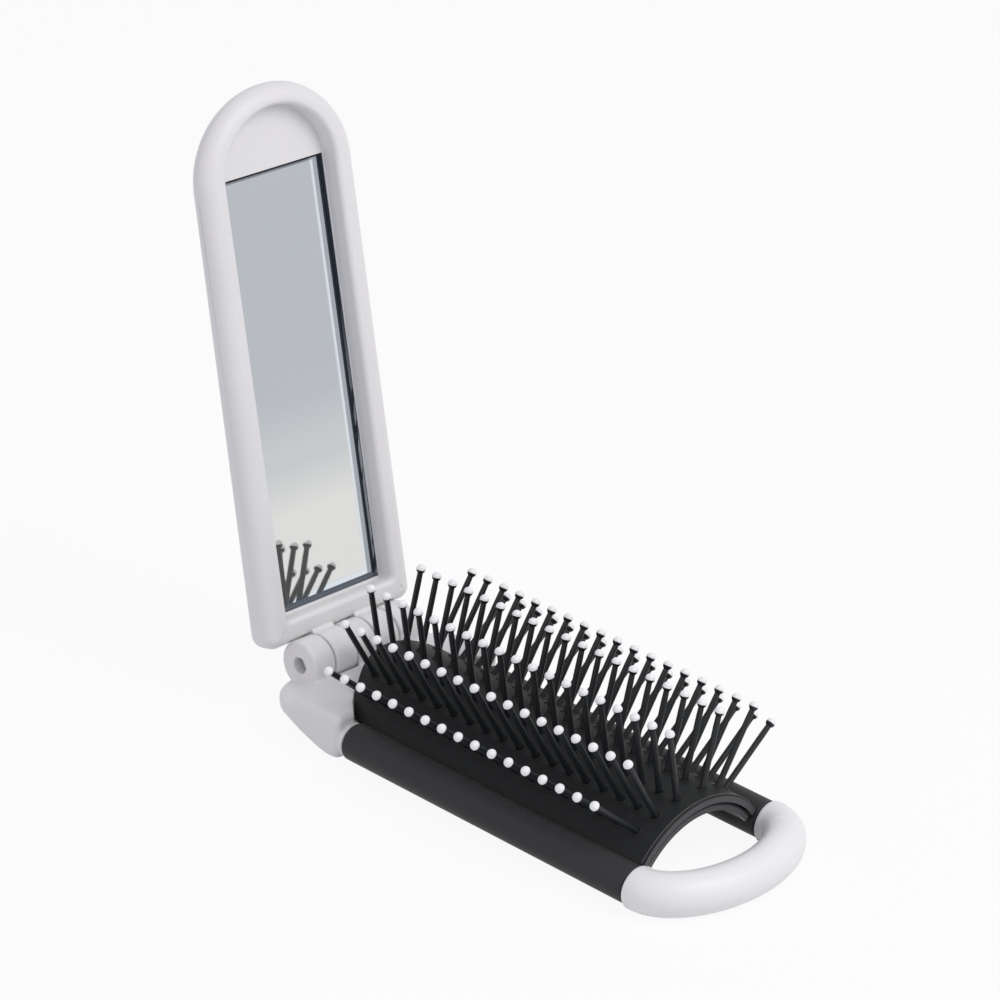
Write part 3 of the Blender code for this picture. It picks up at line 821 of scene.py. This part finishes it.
@dataclass(frozen=True)
class Hinge:
    """The hinge: five knuckles in a row on one pin."""

    back: float = 16.4 * MM
    height: float = 5.95 * MM
    radius: float = 4.2 * MM
    ease: float = 0.45 * MM
    middle_ear: float = 4.4 * MM
    lid_knuckle: float = 4.8 * MM
    outer_ear: float = 4.6 * MM
    bore: float = 1.45 * MM
    bore_sides: int = 40
    steps: int = 48

    @property
    def axis(self) -> Vector:
        """The middle of the hinge axis."""
        return Vector((-self.back, 0, self.height))

    @property
    def ears(self) -> list[tuple[float, float]]:
        """Where the block's ears lie across the brush.

        Returns:
            First and last place of each.
        """
        start = self.middle_ear / 2 + 2 * FIT + self.lid_knuckle
        end = start + self.outer_ear
        return [(-end, -start), (-self.middle_ear / 2, self.middle_ear / 2), (start, end)]

    @property
    def knuckles(self) -> list[tuple[float, float]]:
        """Where the lid's knuckles lie across the brush.

        Returns:
            First and last place of each.
        """
        start = self.middle_ear / 2 + FIT
        end = start + self.lid_knuckle
        return [(-end, -start), (start, end)]

    def knuckle(
        self, matrix: Matrix, span: tuple[float, float], arc: tuple[float, float],
        root: Callable[[float, float], list[tuple[float, float]]],
    ) -> bmesh.types.BMesh:
        """One knuckle: round on the hinge axis, and drawn out to its root.

        Args:
            matrix: Its axes, from a point on the hinge axis.
            span: Where it lies across the brush.
            arc: First and last angle of its round part.
            root: Gives the root's points from the radius and how far the edge is drawn in.

        Returns:
            The knuckle.
        """
        rings = []
        first, last = arc
        turns = [first + (last - first) * k / self.steps for k in range(self.steps + 1)]
        for y, inset in eased(*span, self.ease):
            radius = self.radius - inset
            shape = [(radius * math.cos(t), radius * math.sin(t)) for t in turns] + root(radius, inset)
            rings.append([matrix @ Vector((x, y, z)) for x, z in shape])
        return loft(rings)

    def clearance(self, span: tuple[float, float]) -> bmesh.types.BMesh:
        """The running room that a knuckle needs in its neighbour."""
        low, high = span
        return rod(self.axis + ACROSS * (low - FIT), self.axis + ACROSS * (high + FIT), self.radius + FIT)

    def relief(self, span: tuple[float, float]) -> bmesh.types.BMesh:
        """Room behind the axis for a lid knuckle's root when the lid lies right back.

        Args:
            span: Where the knuckle lies across the brush.

        Returns:
            The room.
        """
        low, high = span
        floor, behind = self.height - self.radius - FIT, -self.back - 2 * self.radius
        corners = [(behind, floor), (-self.back, floor), (-self.back, 2 * self.height), (behind, 2 * self.height)]
        return loft([[Vector((x, y, z)) for x, z in corners] for y in (low - FIT, high + FIT)])

    def hole(self, reach: float) -> bmesh.types.BMesh:
        """The hole for the pin."""
        return rod(self.axis - ACROSS * reach, self.axis + ACROSS * reach, self.bore, sides=self.bore_sides)


def rounded(
    points: Sequence[tuple[float, float]], radius: float, steps: int = 6, most: float = 1 / 2.2,
) -> list[Vector]:
    """Round each corner of a closed outline.

    Args:
        points: The outline's corners.
        radius: How far from a corner its rounding starts.
        steps: Parts of each rounding.
        most: The share of a side that one rounding may take.

    Returns:
        The rounded outline.
    """
    out = []
    count = len(points)
    for i in range(count):
        before, here, after = (Vector(points[(i + k) % count]) for k in (-1, 0, 1))
        reach = min(radius, (before - here).length * most, (after - here).length * most)
        start = here + (before - here).normalized() * reach
        end = here + (after - here).normalized() * reach
        shares = [k / steps for k in range(steps + 1)]
        out += [start * (1 - t) ** 2 + here * 2 * t * (1 - t) + end * t ** 2 for t in shares]
    return out


@dataclass(frozen=True)
class HingeBlock:
    """The white bar that carries the arms and the hinge's ears."""

    arms: Arms
    hinge: Hinge
    width: float = 38.0 * MM
    length: float = 18.5 * MM
    height: float = 10.0 * MM
    corner: float = 0.7 * MM
    plan_round: float = 7.5 * MM
    front_round: float = 1.2 * MM
    end_round: float = 1.2 * MM
    end_shrink: float = 0.25
    bed_back: float = 8.4 * MM
    bed_margin: float = 0.75 * MM
    bed_bow: float = 2.2
    pocket_level: float = 0.8 * MM
    collar_radius: float = 2.95 * MM
    collar_length: float = 0.6 * MM
    socket_depth: float = 4.0 * MM
    ear_foot: float = 2.2 * MM
    ear_arc: tuple[float, float] = (0.0, math.radians(250))
    end_steps: int = 20
    spine_shares: tuple[float, float] = (0.0, 0.18)
    profile_shares: tuple[tuple[float, float], ...] = (
        (0.0, -0.27), (0.0, 0.43), (-0.035, 0.48), (-0.14, 0.49), (-0.64, 0.45), (-0.86, 0.31), (-0.98, 0.28),
        (-1.0, 0.18), (-0.98, 0.06), (-0.66, -0.13), (-0.5, -0.2), (-0.35, -0.26), (-0.2, -0.3), (-0.08, -0.3),
    )
    skin: float = 0.2 * MM
    skin_passes: int = 3

    def section(self, y: float, height_share: float, rear: float, fore: float) -> list[Vector]:
        """The block's side profile at one distance out.

        Args:
            y: Where the section lies across the brush.
            height_share: How far it is drawn in towards its spine.
            rear: How far its rear is drawn forwards.
            fore: How far its front is drawn back.

        Returns:
            The section's points.
        """
        points = [(x * self.length, z * self.height) for x, z in self.profile_shares]
        ring = []
        for point in rounded(points, self.corner):
            along = -point.x / self.length
            low, high = self.spine_shares
            spine = self.height * (low + (high - low) * along)
            x = point.x + rear * along - fore * (1 - along)
            ring.append(Vector((x, y, spine + (point.y - spine) * height_share)))
        return ring

    def turned_in(self, out: float, radius: float) -> float:
        """How far, as a share of its radius, a rounding at the block's end has turned in."""
        into = max(0.0, 1 - (self.width / 2 - out) / radius)
        return 1 - math.sqrt(max(0.0, 1 - into ** 2))

    def ends(self) -> list[tuple[float, float, float, float]]:
        """The stations of a rounded end.

        Returns:
            Distance out, height share, rear setback and front setback at each.
        """
        rings = []
        for turn in quarter(self.end_steps):
            out = self.width / 2 - self.plan_round * (1 - math.sin(turn))
            shrink = self.end_shrink * self.turned_in(out, self.end_round)
            fore = self.front_round * self.turned_in(out, self.front_round)
            rings.append((out, 1 - shrink, self.plan_round * (1 - math.cos(turn)), fore))
        return rings

    def bed_start(self, y: float, gap: float = 0.0) -> float:
        """Where the bed's rounded hinge end lies at a distance across, or a wall a gap behind it."""
        reach = self.arms.spread - self.bed_margin + gap
        return -(self.bed_back + gap) * (1 - min(1.0, abs(y) / reach) ** self.bed_bow)

    def bed_pocket(self) -> bmesh.types.BMesh:
        """The room in the block for the bed's hinge end.

        Returns:
            The room.
        """
        reach, steps = self.arms.spread - self.bed_margin + FIT, 3 * self.end_steps
        across = [reach * (2 * k / steps - 1) for k in range(steps + 1)]
        outline = [(OVERRUN, -reach)] + [(self.bed_start(y, FIT), y) for y in across] + [(OVERRUN, reach)]
        return loft([[Vector((x, y, z)) for x, y in outline] for z in (self.pocket_level, self.height)])

    def ear(self, span: tuple[float, float]) -> bmesh.types.BMesh:
        """One ear, with a straight front down into the block."""
        axis, low = self.hinge.axis, self.ear_foot - self.hinge.height
        return self.hinge.knuckle(Matrix.Translation(axis), span, self.ear_arc, lambda r, i: [(r, low + i)])

    def build(self) -> None:
        """Build the block as one moulded skin."""
        ends = self.ends()
        stations = [(-y, *rest) for y, *rest in reversed(ends)] + ends
        block = new_object("block", loft([self.section(*station) for station in stations]))
        room = [make(span) for span in self.hinge.knuckles for make in (self.hinge.clearance, self.hinge.relief)]
        combine(block, "DIFFERENCE", [self.bed_pocket()] + room)
        bosses, cuts = [], [self.hinge.hole(self.width / 2)]
        for side in Side:
            bosses.append(self.arms.bar(side, -self.socket_depth, self.collar_length, self.collar_radius))
            cuts.append(self.arms.bar(side, -self.socket_depth - FIT, OVERRUN, self.arms.core_radius + FIT))
        combine(block, "UNION", [self.ear(span) for span in self.hinge.ears] + bosses)
        combine(block, "DIFFERENCE", cuts)
        soften(block, self.skin, self.skin_passes)
        dress(block, WHITE, Body.FRAME, "hinge_block")
        repaint("hinge_pin", STEEL)


@dataclass(frozen=True)
class Bed:
    """The arched dark bed between the arms."""

    arms: Arms
    block: HingeBlock
    crown: float = 9.25 * MM
    thickness: float = 1.3 * MM
    setback: float = 0.3 * MM
    seat_angle: float = math.radians(52)
    overhang: float = math.radians(3)
    seat_bite: float = 0.05 * MM
    edge: float = 0.35 * MM
    lip_width: float = 0.5 * MM
    lip_proud: float = 0.02 * MM
    lip_reach: float = math.radians(50.4)
    pad_thickness: float = 1.2 * MM
    pad_reach: float = math.radians(49.86)
    steps: int = 72
    sharp: float = 30.0
    lip_sharp: float = 40.0
    hole: float = 0.62 * MM
    hole_sides: int = 20
    collar: float = 1.0 * MM
    collar_rise: float = 0.22 * MM
    collar_shares: tuple[tuple[float, float], ...] = (
        (0.0, -0.4), (0.0, 0.55), (0.1958, 1.0), (0.7368, 0.7), (1.0, -0.4),
    )

    @property
    def seat(self) -> Vector:
        """Where the bed meets an arm, across and up."""
        reach = self.arms.radius + FIT
        return Vector((self.arms.spread - reach * math.cos(self.seat_angle), reach * math.sin(self.seat_angle)))

    @property
    def radius(self) -> float:
        """The arch's outer radius."""
        rise = self.crown - self.seat.y
        return (self.seat.x ** 2 + rise ** 2) / (2 * rise)

    @property
    def centre_z(self) -> float:
        """Height of the arch's centre."""
        return self.crown - self.radius

    @property
    def end(self) -> float:
        """Where the bed ends, at the loop."""
        return self.arms.end - self.setback

    def arch(
        self, outer: float, thickness: float, span: tuple[float, float], steps: int, end: float, ease: float = 0.0,
    ) -> bmesh.types.BMesh:
        """An arched slab from the block's rounded pocket to a square end.

        Args:
            outer: Its outer radius.
            thickness: Its thickness.
            span: Its first and last angle round the arch.
            steps: Parts of the arch.
            end: Where it ends.
            ease: How far its upper edges are rounded.

        Returns:
            The slab.
        """
        low, high = span
        rings = []
        for k in range(steps + 1):
            turn = low + (high - low) * k / steps
            start = self.block.bed_start(outer * math.sin(turn))
            points = [(x, outer - i) for x, i in eased(start, end, ease)]
            points += [(end, outer - thickness), (start, outer - thickness)]
            rings.append([
                Vector((x, radius * math.sin(turn), self.centre_z + radius * math.cos(turn))) for x, radius in points])
        return loft(rings)

    def build(self, pins: "PinField") -> None:
        """Build the bed with a hole and a raised collar at each pin.

        Args:
            pins: The pins that pass through it.
        """
        arms, block = self.arms, self.block
        half = math.asin(self.seat.x / self.radius) + self.overhang
        slab = self.arch(self.radius, self.thickness, (-half, half), self.steps, self.end, self.edge)
        bed = new_object("bed", slab)
        cuts = []
        for side in Side:
            cuts.append(arms.bar(side, arms.start, arms.end + OVERRUN, arms.radius - self.seat_bite))
            cuts.append(arms.bar(side, -block.length, arms.start, block.collar_radius + FIT))
        holes, collars = bmesh.new(), bmesh.new()
        for row, side in pins.places():
            _, direction = pins.line(row, side)
            second = direction.cross(ALONG)
            for foot in pins.feet(row, side):
                reach = direction * 2 * self.thickness
                skin(holes, [circle(foot + k * reach, ALONG, second, self.hole, self.hole_sides) for k in (-1, 1)])
                self.add_collar(collars, foot, row, side)
        self.build_lip()
        combine(bed, "DIFFERENCE", cuts + [holes], self.sharp)
        dress(bed, BED_DARK, Body.FRAME, "bed_plate")
        dress(new_object("bed_collars", collars), BED_DARK, Body.FRAME)

    def build_lip(self) -> None:
        """Build the two cut edges that show at the loop end: the bed's, and the pad's a step under it, in a paler
        finish that is partly a painted highlight.
        """
        layers = (
            ("bed_edge", self.radius, self.thickness, self.lip_reach, self.end),
            ("pad_edge", self.radius - self.thickness - FIT, self.pad_thickness, self.pad_reach,
             self.end - self.setback),
        )
        for name, outer, thickness, half, end in layers:
            outer, inner, start = outer + self.lip_proud, outer - thickness - self.lip_proud, end - self.lip_width
            rings = []
            for k in range(self.steps + 1):
                turn = half * (2 * k / self.steps - 1)
                y, z = math.sin(turn), math.cos(turn)
                corners = [(start, outer), (end - self.edge, outer), (end + self.lip_proud, outer - self.edge),
                           (end + self.lip_proud, inner), (start, inner)]
                rings.append([Vector((x, r * y, self.centre_z + r * z)) for x, r in corners])
            dress(new_object(name, loft(rings), self.lip_sharp), EDGE_RUBBER_AND_HIGHLIGHT, Body.FRAME)

    def add_collar(self, bm: bmesh.types.BMesh, foot: Vector, row: "PinRow", side: Side) -> None:
        """Add the raised ring round one hole, square to the bed there.

        Args:
            bm: The mesh that it is added to.
            foot: Where the pin leaves the bed.
            row: The pin's row.
            side: The row's side.
        """
        out = Vector((0, side.value * math.sin(row.place), math.cos(row.place)))
        second = out.cross(ALONG)
        rings = []
        for share, rise in self.collar_shares:
            radius = self.hole + share * (self.collar - self.hole)
            rings.append(circle(foot + out * rise * self.collar_rise, ALONG, second, radius, self.hole_sides))
        skin(bm, rings, closed=True)


@dataclass(frozen=True)
class PinRow:
    """One row of pins: where it stands round the arch, its lean and length, and its strip of the pad."""

    place: float
    lean: float
    length: float
    count: int
    end: float
    strip: tuple[float, float]


def pin_row(
    place: float, lean: float, length: float, count: int, end: float, strip: tuple[float, float],
) -> PinRow:
    """A row from angles in degrees, and its pins' length and last distance from the bed's end in millimetres."""
    angles = tuple(math.radians(a) for a in strip)
    return PinRow(math.radians(place), math.radians(lean), length * MM, count, end * MM, angles)


@dataclass(frozen=True)
class PinField:
    """Six rows of ball-tipped pins on their strips of the pad under the bed."""

    bed: Bed
    pitch: float = 3.7 * MM
    root: float = 2.2 * MM
    shaft: float = 0.54 * MM
    flare: float = 1.08
    flare_height: float = 0.5 * MM
    waist_shares: tuple[float, float] = (0.48, 0.93)
    neck: float = 0.47 * MM
    neck_shares: tuple[float, float] = (0.82, 1.08)
    ball: float = 0.8 * MM
    dip: float = 0.015 * MM
    dip_reach: float = 0.06 * MM
    sides: int = 16
    ball_steps: int = 7
    crown_step: float = 0.5
    tip_sharp: float = 80.0
    strip_steps: int = 12
    closed_share: float = 0.15
    rows: tuple[PinRow, ...] = (
        pin_row(36.89, 51.19, 13.2, 17, 4.5, (30.78, 49.86)),
        pin_row(24.78, 32.08, 14.1, 18, 3.4, (17.3, 30.78)),
        pin_row(9.9, 12.5, 13.2, 19, 3.0, (0.0, 17.3)),
    )

    def places(self) -> list[tuple[PinRow, Side]]:
        """The six rows in order, from the near arm to the far one."""
        return [(row, Side.NEAR) for row in self.rows] + [(row, Side.FAR) for row in reversed(self.rows)]

    def line(self, row: PinRow, side: Side) -> tuple[Vector, Vector]:
        """A row's line on the bed.

        Args:
            row: The row.
            side: Its side.

        Returns:
            Where its pins leave the bed, at X zero, and their direction.
        """
        radius, sign = self.bed.radius, side.value
        foot = Vector((0, sign * radius * math.sin(row.place), self.bed.centre_z + radius * math.cos(row.place)))
        return foot, Vector((0, sign * math.sin(row.lean), math.cos(row.lean)))

    def feet(self, row: PinRow, side: Side) -> list[Vector]:
        """The feet of a row's pins.

        Args:
            row: The row.
            side: Its side.

        Returns:
            The foot of each pin, from the hinge end.
        """
        foot, _ = self.line(row, side)
        last = self.bed.end - row.end
        return [foot + ALONG * (last - self.pitch * k) for k in reversed(range(row.count))]

    def turned(self, row: PinRow, side: Side, stations: Sequence[tuple[float, float]]) -> bmesh.types.BMesh:
        """One turned shape on each pin of a row.

        Args:
            row: The row.
            side: Its side.
            stations: Heights over the foot along the pin, and the radius at each.

        Returns:
            The shapes.
        """
        bm = bmesh.new()
        _, direction = self.line(row, side)
        second = direction.cross(ALONG)
        for foot in self.feet(row, side):
            skin(bm, [circle(foot + direction * h, ALONG, second, r, self.sides) for h, r in stations])
        return bm

    def shaft_stations(self, length: float) -> list[tuple[float, float]]:
        """A tapered shaft with the lower half of its ball.

        Args:
            length: The pin's length.

        Returns:
            Heights over the foot, and the radius at each.
        """
        (waist, waist_radius), (neck, neck_radius) = self.waist_shares, self.neck_shares
        stations = [
            (-self.root, self.shaft), (0.0, self.shaft * self.flare), (self.flare_height, self.shaft),
            (length * waist, self.shaft * waist_radius), (length * neck, self.neck * neck_radius),
        ]
        grip = math.asin(self.neck / self.ball)
        turns = [grip + (math.pi / 2 - grip) * k / self.ball_steps for k in range(self.ball_steps + 1)]
        return stations + [(length - self.ball * math.cos(t), self.ball * math.sin(t)) for t in turns]

    def tip_stations(self, length: float) -> list[tuple[float, float]]:
        """The white cap that a ball is dipped in.

        Args:
            length: The pin's length.

        Returns:
            Heights over the foot, and the radius at each.
        """
        cap = self.ball + self.dip
        turns = [math.pi / 2 * k / (self.ball_steps - self.crown_step) for k in range(self.ball_steps)]
        return [(length - self.dip_reach, cap)] + [(length + cap * math.sin(t), cap * math.cos(t)) for t in turns]

    def strip(self, row: PinRow, side: Side) -> bmesh.types.BMesh:
        """A row's strip of the pad under the bed.

        Args:
            row: The row.
            side: Its side.

        Returns:
            The strip.
        """
        bed, (low, high) = self.bed, row.strip
        span = (low, high) if side is Side.FAR else (-high, -low)
        outer = bed.radius - bed.thickness - FIT
        return bed.arch(outer, bed.pad_thickness, span, self.strip_steps, bed.end - bed.setback)

    def build(self) -> None:
        """Build each row: its strip of the pad, its pins' shafts and their white tips."""
        for number, (row, side) in enumerate(self.places(), 1):
            node = f"pin_row_{number}"
            foot, direction = self.line(row, side)
            anchor = foot - direction * self.root + origin()
            dress(new_object(f"pad_strip_{number}", self.strip(row, side)), BED_DARK, Body.FRAME, node)
            layers = (
                (f"pin_shafts_{number}", self.shaft_stations(row.length), PIN_BLACK, SHARP),
                (f"pin_tips_{number}", self.tip_stations(row.length), TIP_WHITE, self.tip_sharp),
            )
            for name, stations, finish, sharp in layers:
                piece = dress(new_object(name, self.turned(row, side, stations), sharp), finish, Body.FRAME, node)
                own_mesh(piece)


@dataclass(frozen=True)
class Lid:
    """The white lid: a thick rounded rim round a recess for the mirror, and two knuckles."""

    hinge: Hinge
    lean: float = math.radians(13.4)
    width: float = 33.4 * MM
    front: float = 1.0 * MM
    thickness: float = 6.5 * MM
    taper: float = 1.6 * MM
    foot: float = 3.2 * MM
    corner: float = 2.4 * MM
    straight: float = 78.3 * MM
    arc: float = 14.9 * MM
    edge: float = 2.6 * MM
    rim: float = 4.4 * MM
    rim_foot: float = 4.4 * MM
    rim_top: float = 3.6 * MM
    recess_depth: float = 3.5 * MM
    recess_corner: float = 0.8 * MM
    lip: float = 0.9 * MM
    knuckle_arc: tuple[float, float] = (math.radians(-10), math.radians(270))
    edge_steps: int = 10
    arc_steps: int = 96
    corner_steps: int = 10

    @property
    def matrix(self) -> Matrix:
        """The lid's axes from the middle of the hinge axis.

        Returns:
            Along the lid, across it and towards its mirror side.
        """
        along = Vector((-math.sin(self.lean), 0, math.cos(self.lean)))
        matrix = Matrix((along, ACROSS, along.cross(-ACROSS))).transposed().to_4x4()
        matrix.translation = self.hinge.axis
        return matrix

    @property
    def top(self) -> float:
        """Distance from the hinge axis to the lid's top."""
        return self.foot + self.straight + self.arc

    def outline(self, foot: float, corner: float, half: float, arc: float) -> list[tuple[float, float, float, float]]:
        """A square-footed, round-topped outline.

        Args:
            foot: Where it starts along the lid.
            corner: Radius of its lower corners.
            half: Half its width.
            arc: How far its round top rises.

        Returns:
            Place along and across at each point, and the outward direction there.
        """
        start = self.foot + self.straight
        left = []
        for turn in quarter(self.corner_steps):
            u, y = foot + corner * (1 - math.cos(turn)), -half + corner * (1 - math.sin(turn))
            left.append((u, y, -math.cos(turn), -math.sin(turn)))
        bow = []
        for k in range(self.arc_steps + 1):
            turn = math.pi * k / self.arc_steps
            outward = Vector((math.sin(turn) / arc, -math.cos(turn) / half)).normalized()
            bow.append((start + arc * math.sin(turn), -half * math.cos(turn), outward.x, outward.y))
        return left + bow + [(u, -y, a, -b) for u, y, a, b in reversed(left)]

    def ring(
        self, outline: Sequence[tuple[float, float, float, float]], inset: float, depth: Callable[[float], float],
    ) -> list[Vector]:
        """One ring of the lid.

        Args:
            outline: Places along and across, with the outward direction at each.
            inset: How far the outline is drawn in.
            depth: Gives the depth at a place along the lid.

        Returns:
            The ring.
        """
        matrix, ring = self.matrix, []
        for u, y, out_u, out_y in outline:
            here = u - out_u * inset
            ring.append(matrix @ Vector((here, y - out_y * inset, depth(here))))
        return ring

    def back(self, u: float) -> float:
        """Depth of the lid's back, which tapers towards the top."""
        return -self.front - self.thickness + self.taper * (u - self.foot) / (self.top - self.foot)

    def rings(self) -> list[list[Vector]]:
        """The lid's skin.

        Returns:
            Rings from the lid's back, round its rim and down to the recess floor.
        """
        half = self.width / 2
        outer = self.outline(self.foot, self.corner, half, self.arc)
        inner = self.outline(
            self.foot + self.rim_foot, self.recess_corner, half - self.rim, self.arc - self.rim_top)
        edge, lip = rim(self.edge, self.edge_steps), rim(self.lip, self.edge_steps)
        rings = [self.ring(outer, i, lambda u, r=r: self.back(u) + r) for i, r in reversed(edge)]
        rings += [self.ring(outer, i, lambda u, d=d: -self.front - d) for i, d in edge]
        rings += [self.ring(inner, -i, lambda u, d=d: -self.front - d) for i, d in reversed(lip)]
        return rings + [self.ring(inner, 0, lambda u: -self.front - self.recess_depth)]

    def knuckle(self, span: tuple[float, float]) -> bmesh.types.BMesh:
        """One lid knuckle, drawn up into the lid's foot."""
        root = [(self.foot + self.rim_foot / 2, -self.front - d) for d in (self.thickness / 2, self.lip)]
        return self.hinge.knuckle(self.matrix, span, self.knuckle_arc, lambda radius, inset: root)

    def build(self, mirror: "Mirror") -> None:
        """Build the lid's shell.

        Args:
            mirror: The mirror that its pocket takes.
        """
        shell = new_object("lid", loft(self.rings()))
        combine(shell, "DIFFERENCE", [self.hinge.clearance(span) for span in self.hinge.ears])
        combine(shell, "UNION", [self.knuckle(span) for span in self.hinge.knuckles])
        combine(shell, "DIFFERENCE", [mirror.pocket(), self.hinge.hole(self.width / 2)])
        # The lid's finish paints dark mastic, partly painted shade, and a painted glint in the mirror's pocket.
        finish = LidPlastic(
            "lid_moulded_pocket_shade", WHITE.slot, WHITE.colour, WHITE.rubbed_colour, WHITE.roughness, gloss=WHITE.gloss,
            lie=mirror.lie(mirror.gap_side + mirror.mask_side), pocket_from=mirror.floor - mirror.mask_depth,
            pocket_to=mirror.bottom - mirror.mask_depth)
        dress(shell, finish, Body.LID, "lid_shell")


@dataclass(frozen=True)
class Mirror:
    """The bevelled mirror in its pocket in the recess floor."""

    lid: Lid
    length: float = 73.0 * MM
    width: float = 22.0 * MM
    thickness: float = 0.8 * MM
    bevel: float = 0.35 * MM
    backing: float = 0.34 * MM
    ledge: float = 0.35 * MM
    gap_side: float = 1.15 * MM
    gap_foot: float = 0.8 * MM
    gap_top: float = 0.3 * MM
    mask_side: float = 0.15 * MM
    mask_depth: float = 0.1 * MM
    sharp: float = 20.0

    @property
    def start(self) -> float:
        """Where the mirror starts along the lid."""
        return self.lid.foot + self.lid.rim_foot + self.ledge + self.gap_foot

    @property
    def floor(self) -> float:
        """Depth of the recess floor, where the glass's face lies."""
        return -self.lid.front - self.lid.recess_depth

    @property
    def bottom(self) -> float:
        """Depth of the pocket's floor."""
        return self.floor - self.thickness - self.backing

    def plate(self, gaps: tuple[float, float, float], levels: Sequence[tuple[float, float]]) -> bmesh.types.BMesh:
        """A flat plate over the mirror's place.

        Args:
            gaps: How far it passes the mirror at the foot, at the top and at each side.
            levels: How far its edges are drawn in, and the depth there, from its back to its face.

        Returns:
            The plate.
        """
        at_foot, at_top, at_side = gaps
        start, end, half = self.start - at_foot, self.start + self.length + at_top, self.width / 2 + at_side
        rings = []
        for e, depth in levels:
            corners = [(start + e, e - half), (end - e, e - half), (end - e, half - e), (start + e, half - e)]
            rings.append([self.lid.matrix @ Vector((u, y, depth)) for u, y in corners])
        return loft(rings)

    def pocket(self) -> bmesh.types.BMesh:
        """The pocket that takes the mirror, wider at its sides than at its ends."""
        levels = [(0.0, self.bottom), (0.0, self.floor + self.lid.lip)]
        return self.plate((self.gap_foot, self.gap_top, self.gap_side), levels)

    def lie(self, margin: float = 0.0) -> Lie:
        """Where the mirror lies.

        Args:
            margin: How far its pocket's finish passes it.

        Returns:
            Its place for a finish.
        """
        matrix = self.lid.matrix
        up, out = matrix.col[0].to_3d(), matrix.col[2].to_3d()
        start, end = self.start - margin, self.start + self.length + margin
        return Lie(matrix.translation + origin(), up, out, start, end, self.width / 2 + margin)

    def build(self) -> None:
        """Build the glass and finish what lies under it."""
        levels = [(0.0, self.floor - self.thickness), (0.0, self.floor - self.bevel), (self.bevel, self.floor)]
        glass = new_object("glass", self.plate((0.0, 0.0, 0.0), levels), self.sharp)
        dress(glass, MirrorGlass("mirror_painted_reflection", "mirror_glass", self.lie()), Body.LID, "mirror_glass")
        repaint("mirror_silvering", SILVER)
        repaint("mirror_tape", TAPE)


@dataclass(frozen=True)
class Studio:
    """The camera at the photograph's place, a pale floor and soft lamps."""

    camera_place: tuple[float, float, float] = (449.66 * MM, -468.39 * MM, 345.12 * MM)
    camera_right: Colour = (0.7174, 0.6949, 0.0477)
    camera_up: Colour = (-0.3277, 0.2763, 0.9034)
    camera_back: Colour = (0.6147, -0.6639, 0.4259)
    lens: float = 158.1
    sensor: float = 36.0
    clip: tuple[float, float] = (10 * MM, 100.0)
    floor_half: float = 6.0
    lamp_aim: float = 40 * MM
    sky: Colour = (0.53, 0.52, 0.585)
    lamp_colour: Colour = (1.0, 0.99, 0.95)
    lamps: tuple[tuple[str, tuple[float, float, float], float, float], ...] = (
        ("key", (0.42, 0.13, 0.52), 0.5, 2.0),
        ("fill", (0.0, -0.62, 0.22), 0.6, 0.45),
    )

    def camera(self) -> None:
        """Set up the camera."""
        data = bpy.data.cameras.new("camera")
        data.lens, data.sensor_width, data.sensor_fit = self.lens, self.sensor, "HORIZONTAL"
        data.clip_start, data.clip_end = self.clip
        obj = add_object("camera", data)
        axes = [Vector(a).normalized() for a in (self.camera_right, self.camera_up, self.camera_back)]
        matrix = Matrix(axes).transposed().to_4x4()
        matrix.translation = Vector(self.camera_place) + origin()
        obj.matrix_world = matrix
        bpy.context.scene.camera = obj

    def floor(self) -> None:
        """Lay the floor under the brush."""
        bm = bmesh.new()
        corners = [(-1, -1), (1, -1), (1, 1), (-1, 1)]
        bm.faces.new([bm.verts.new((x * self.floor_half, y * self.floor_half, 0)) for x, y in corners])
        obj = new_object("floor", bm)
        obj.data.materials.append(StudioWhite("studio_white", "").material())

    def light(self) -> None:
        """Hang the lamps and light the surroundings."""
        for name, place, size, power in self.lamps:
            data = bpy.data.lights.new(name, "AREA")
            data.shape, data.size, data.energy, data.color = "DISK", size, power, self.lamp_colour
            lamp = add_object(name, data)
            lamp.location = place
            lamp.rotation_mode = "QUATERNION"
            lamp.rotation_quaternion = (UP * self.lamp_aim - Vector(place)).to_track_quat("-Z", "Y")
        world = bpy.data.worlds.new("surroundings")
        world.use_nodes = True
        bpy.context.scene.world = world
        graph = Graph(world.node_tree)
        colour = graph.mix(seen_directly(graph), self.sky, (1, 1, 1))
        graph.finish("ShaderNodeOutputWorld", graph.node("ShaderNodeBackground", None, {"Color": colour}))

    def build(self) -> None:
        """Set up the whole studio."""
        self.camera()
        self.floor()
        self.light()
        bpy.context.scene.view_settings.view_transform = "Standard"


def main() -> None:
    """Build the studio and every sub-assembly."""
    logging.basicConfig(level=logging.INFO, format="%(name)s: %(message)s")
    Studio().build()
    arms, hinge = Arms(), Hinge()
    block = HingeBlock(arms, hinge)
    bed = Bed(arms, block)
    pins = PinField(bed)
    lid = Lid(hinge)
    mirror = Mirror(lid)
    for part in (arms, EndLoop(arms), block, pins, mirror):
        part.build()
    bed.build(pins)
    lid.build(mirror)


if __name__ == "__main__":
    main()
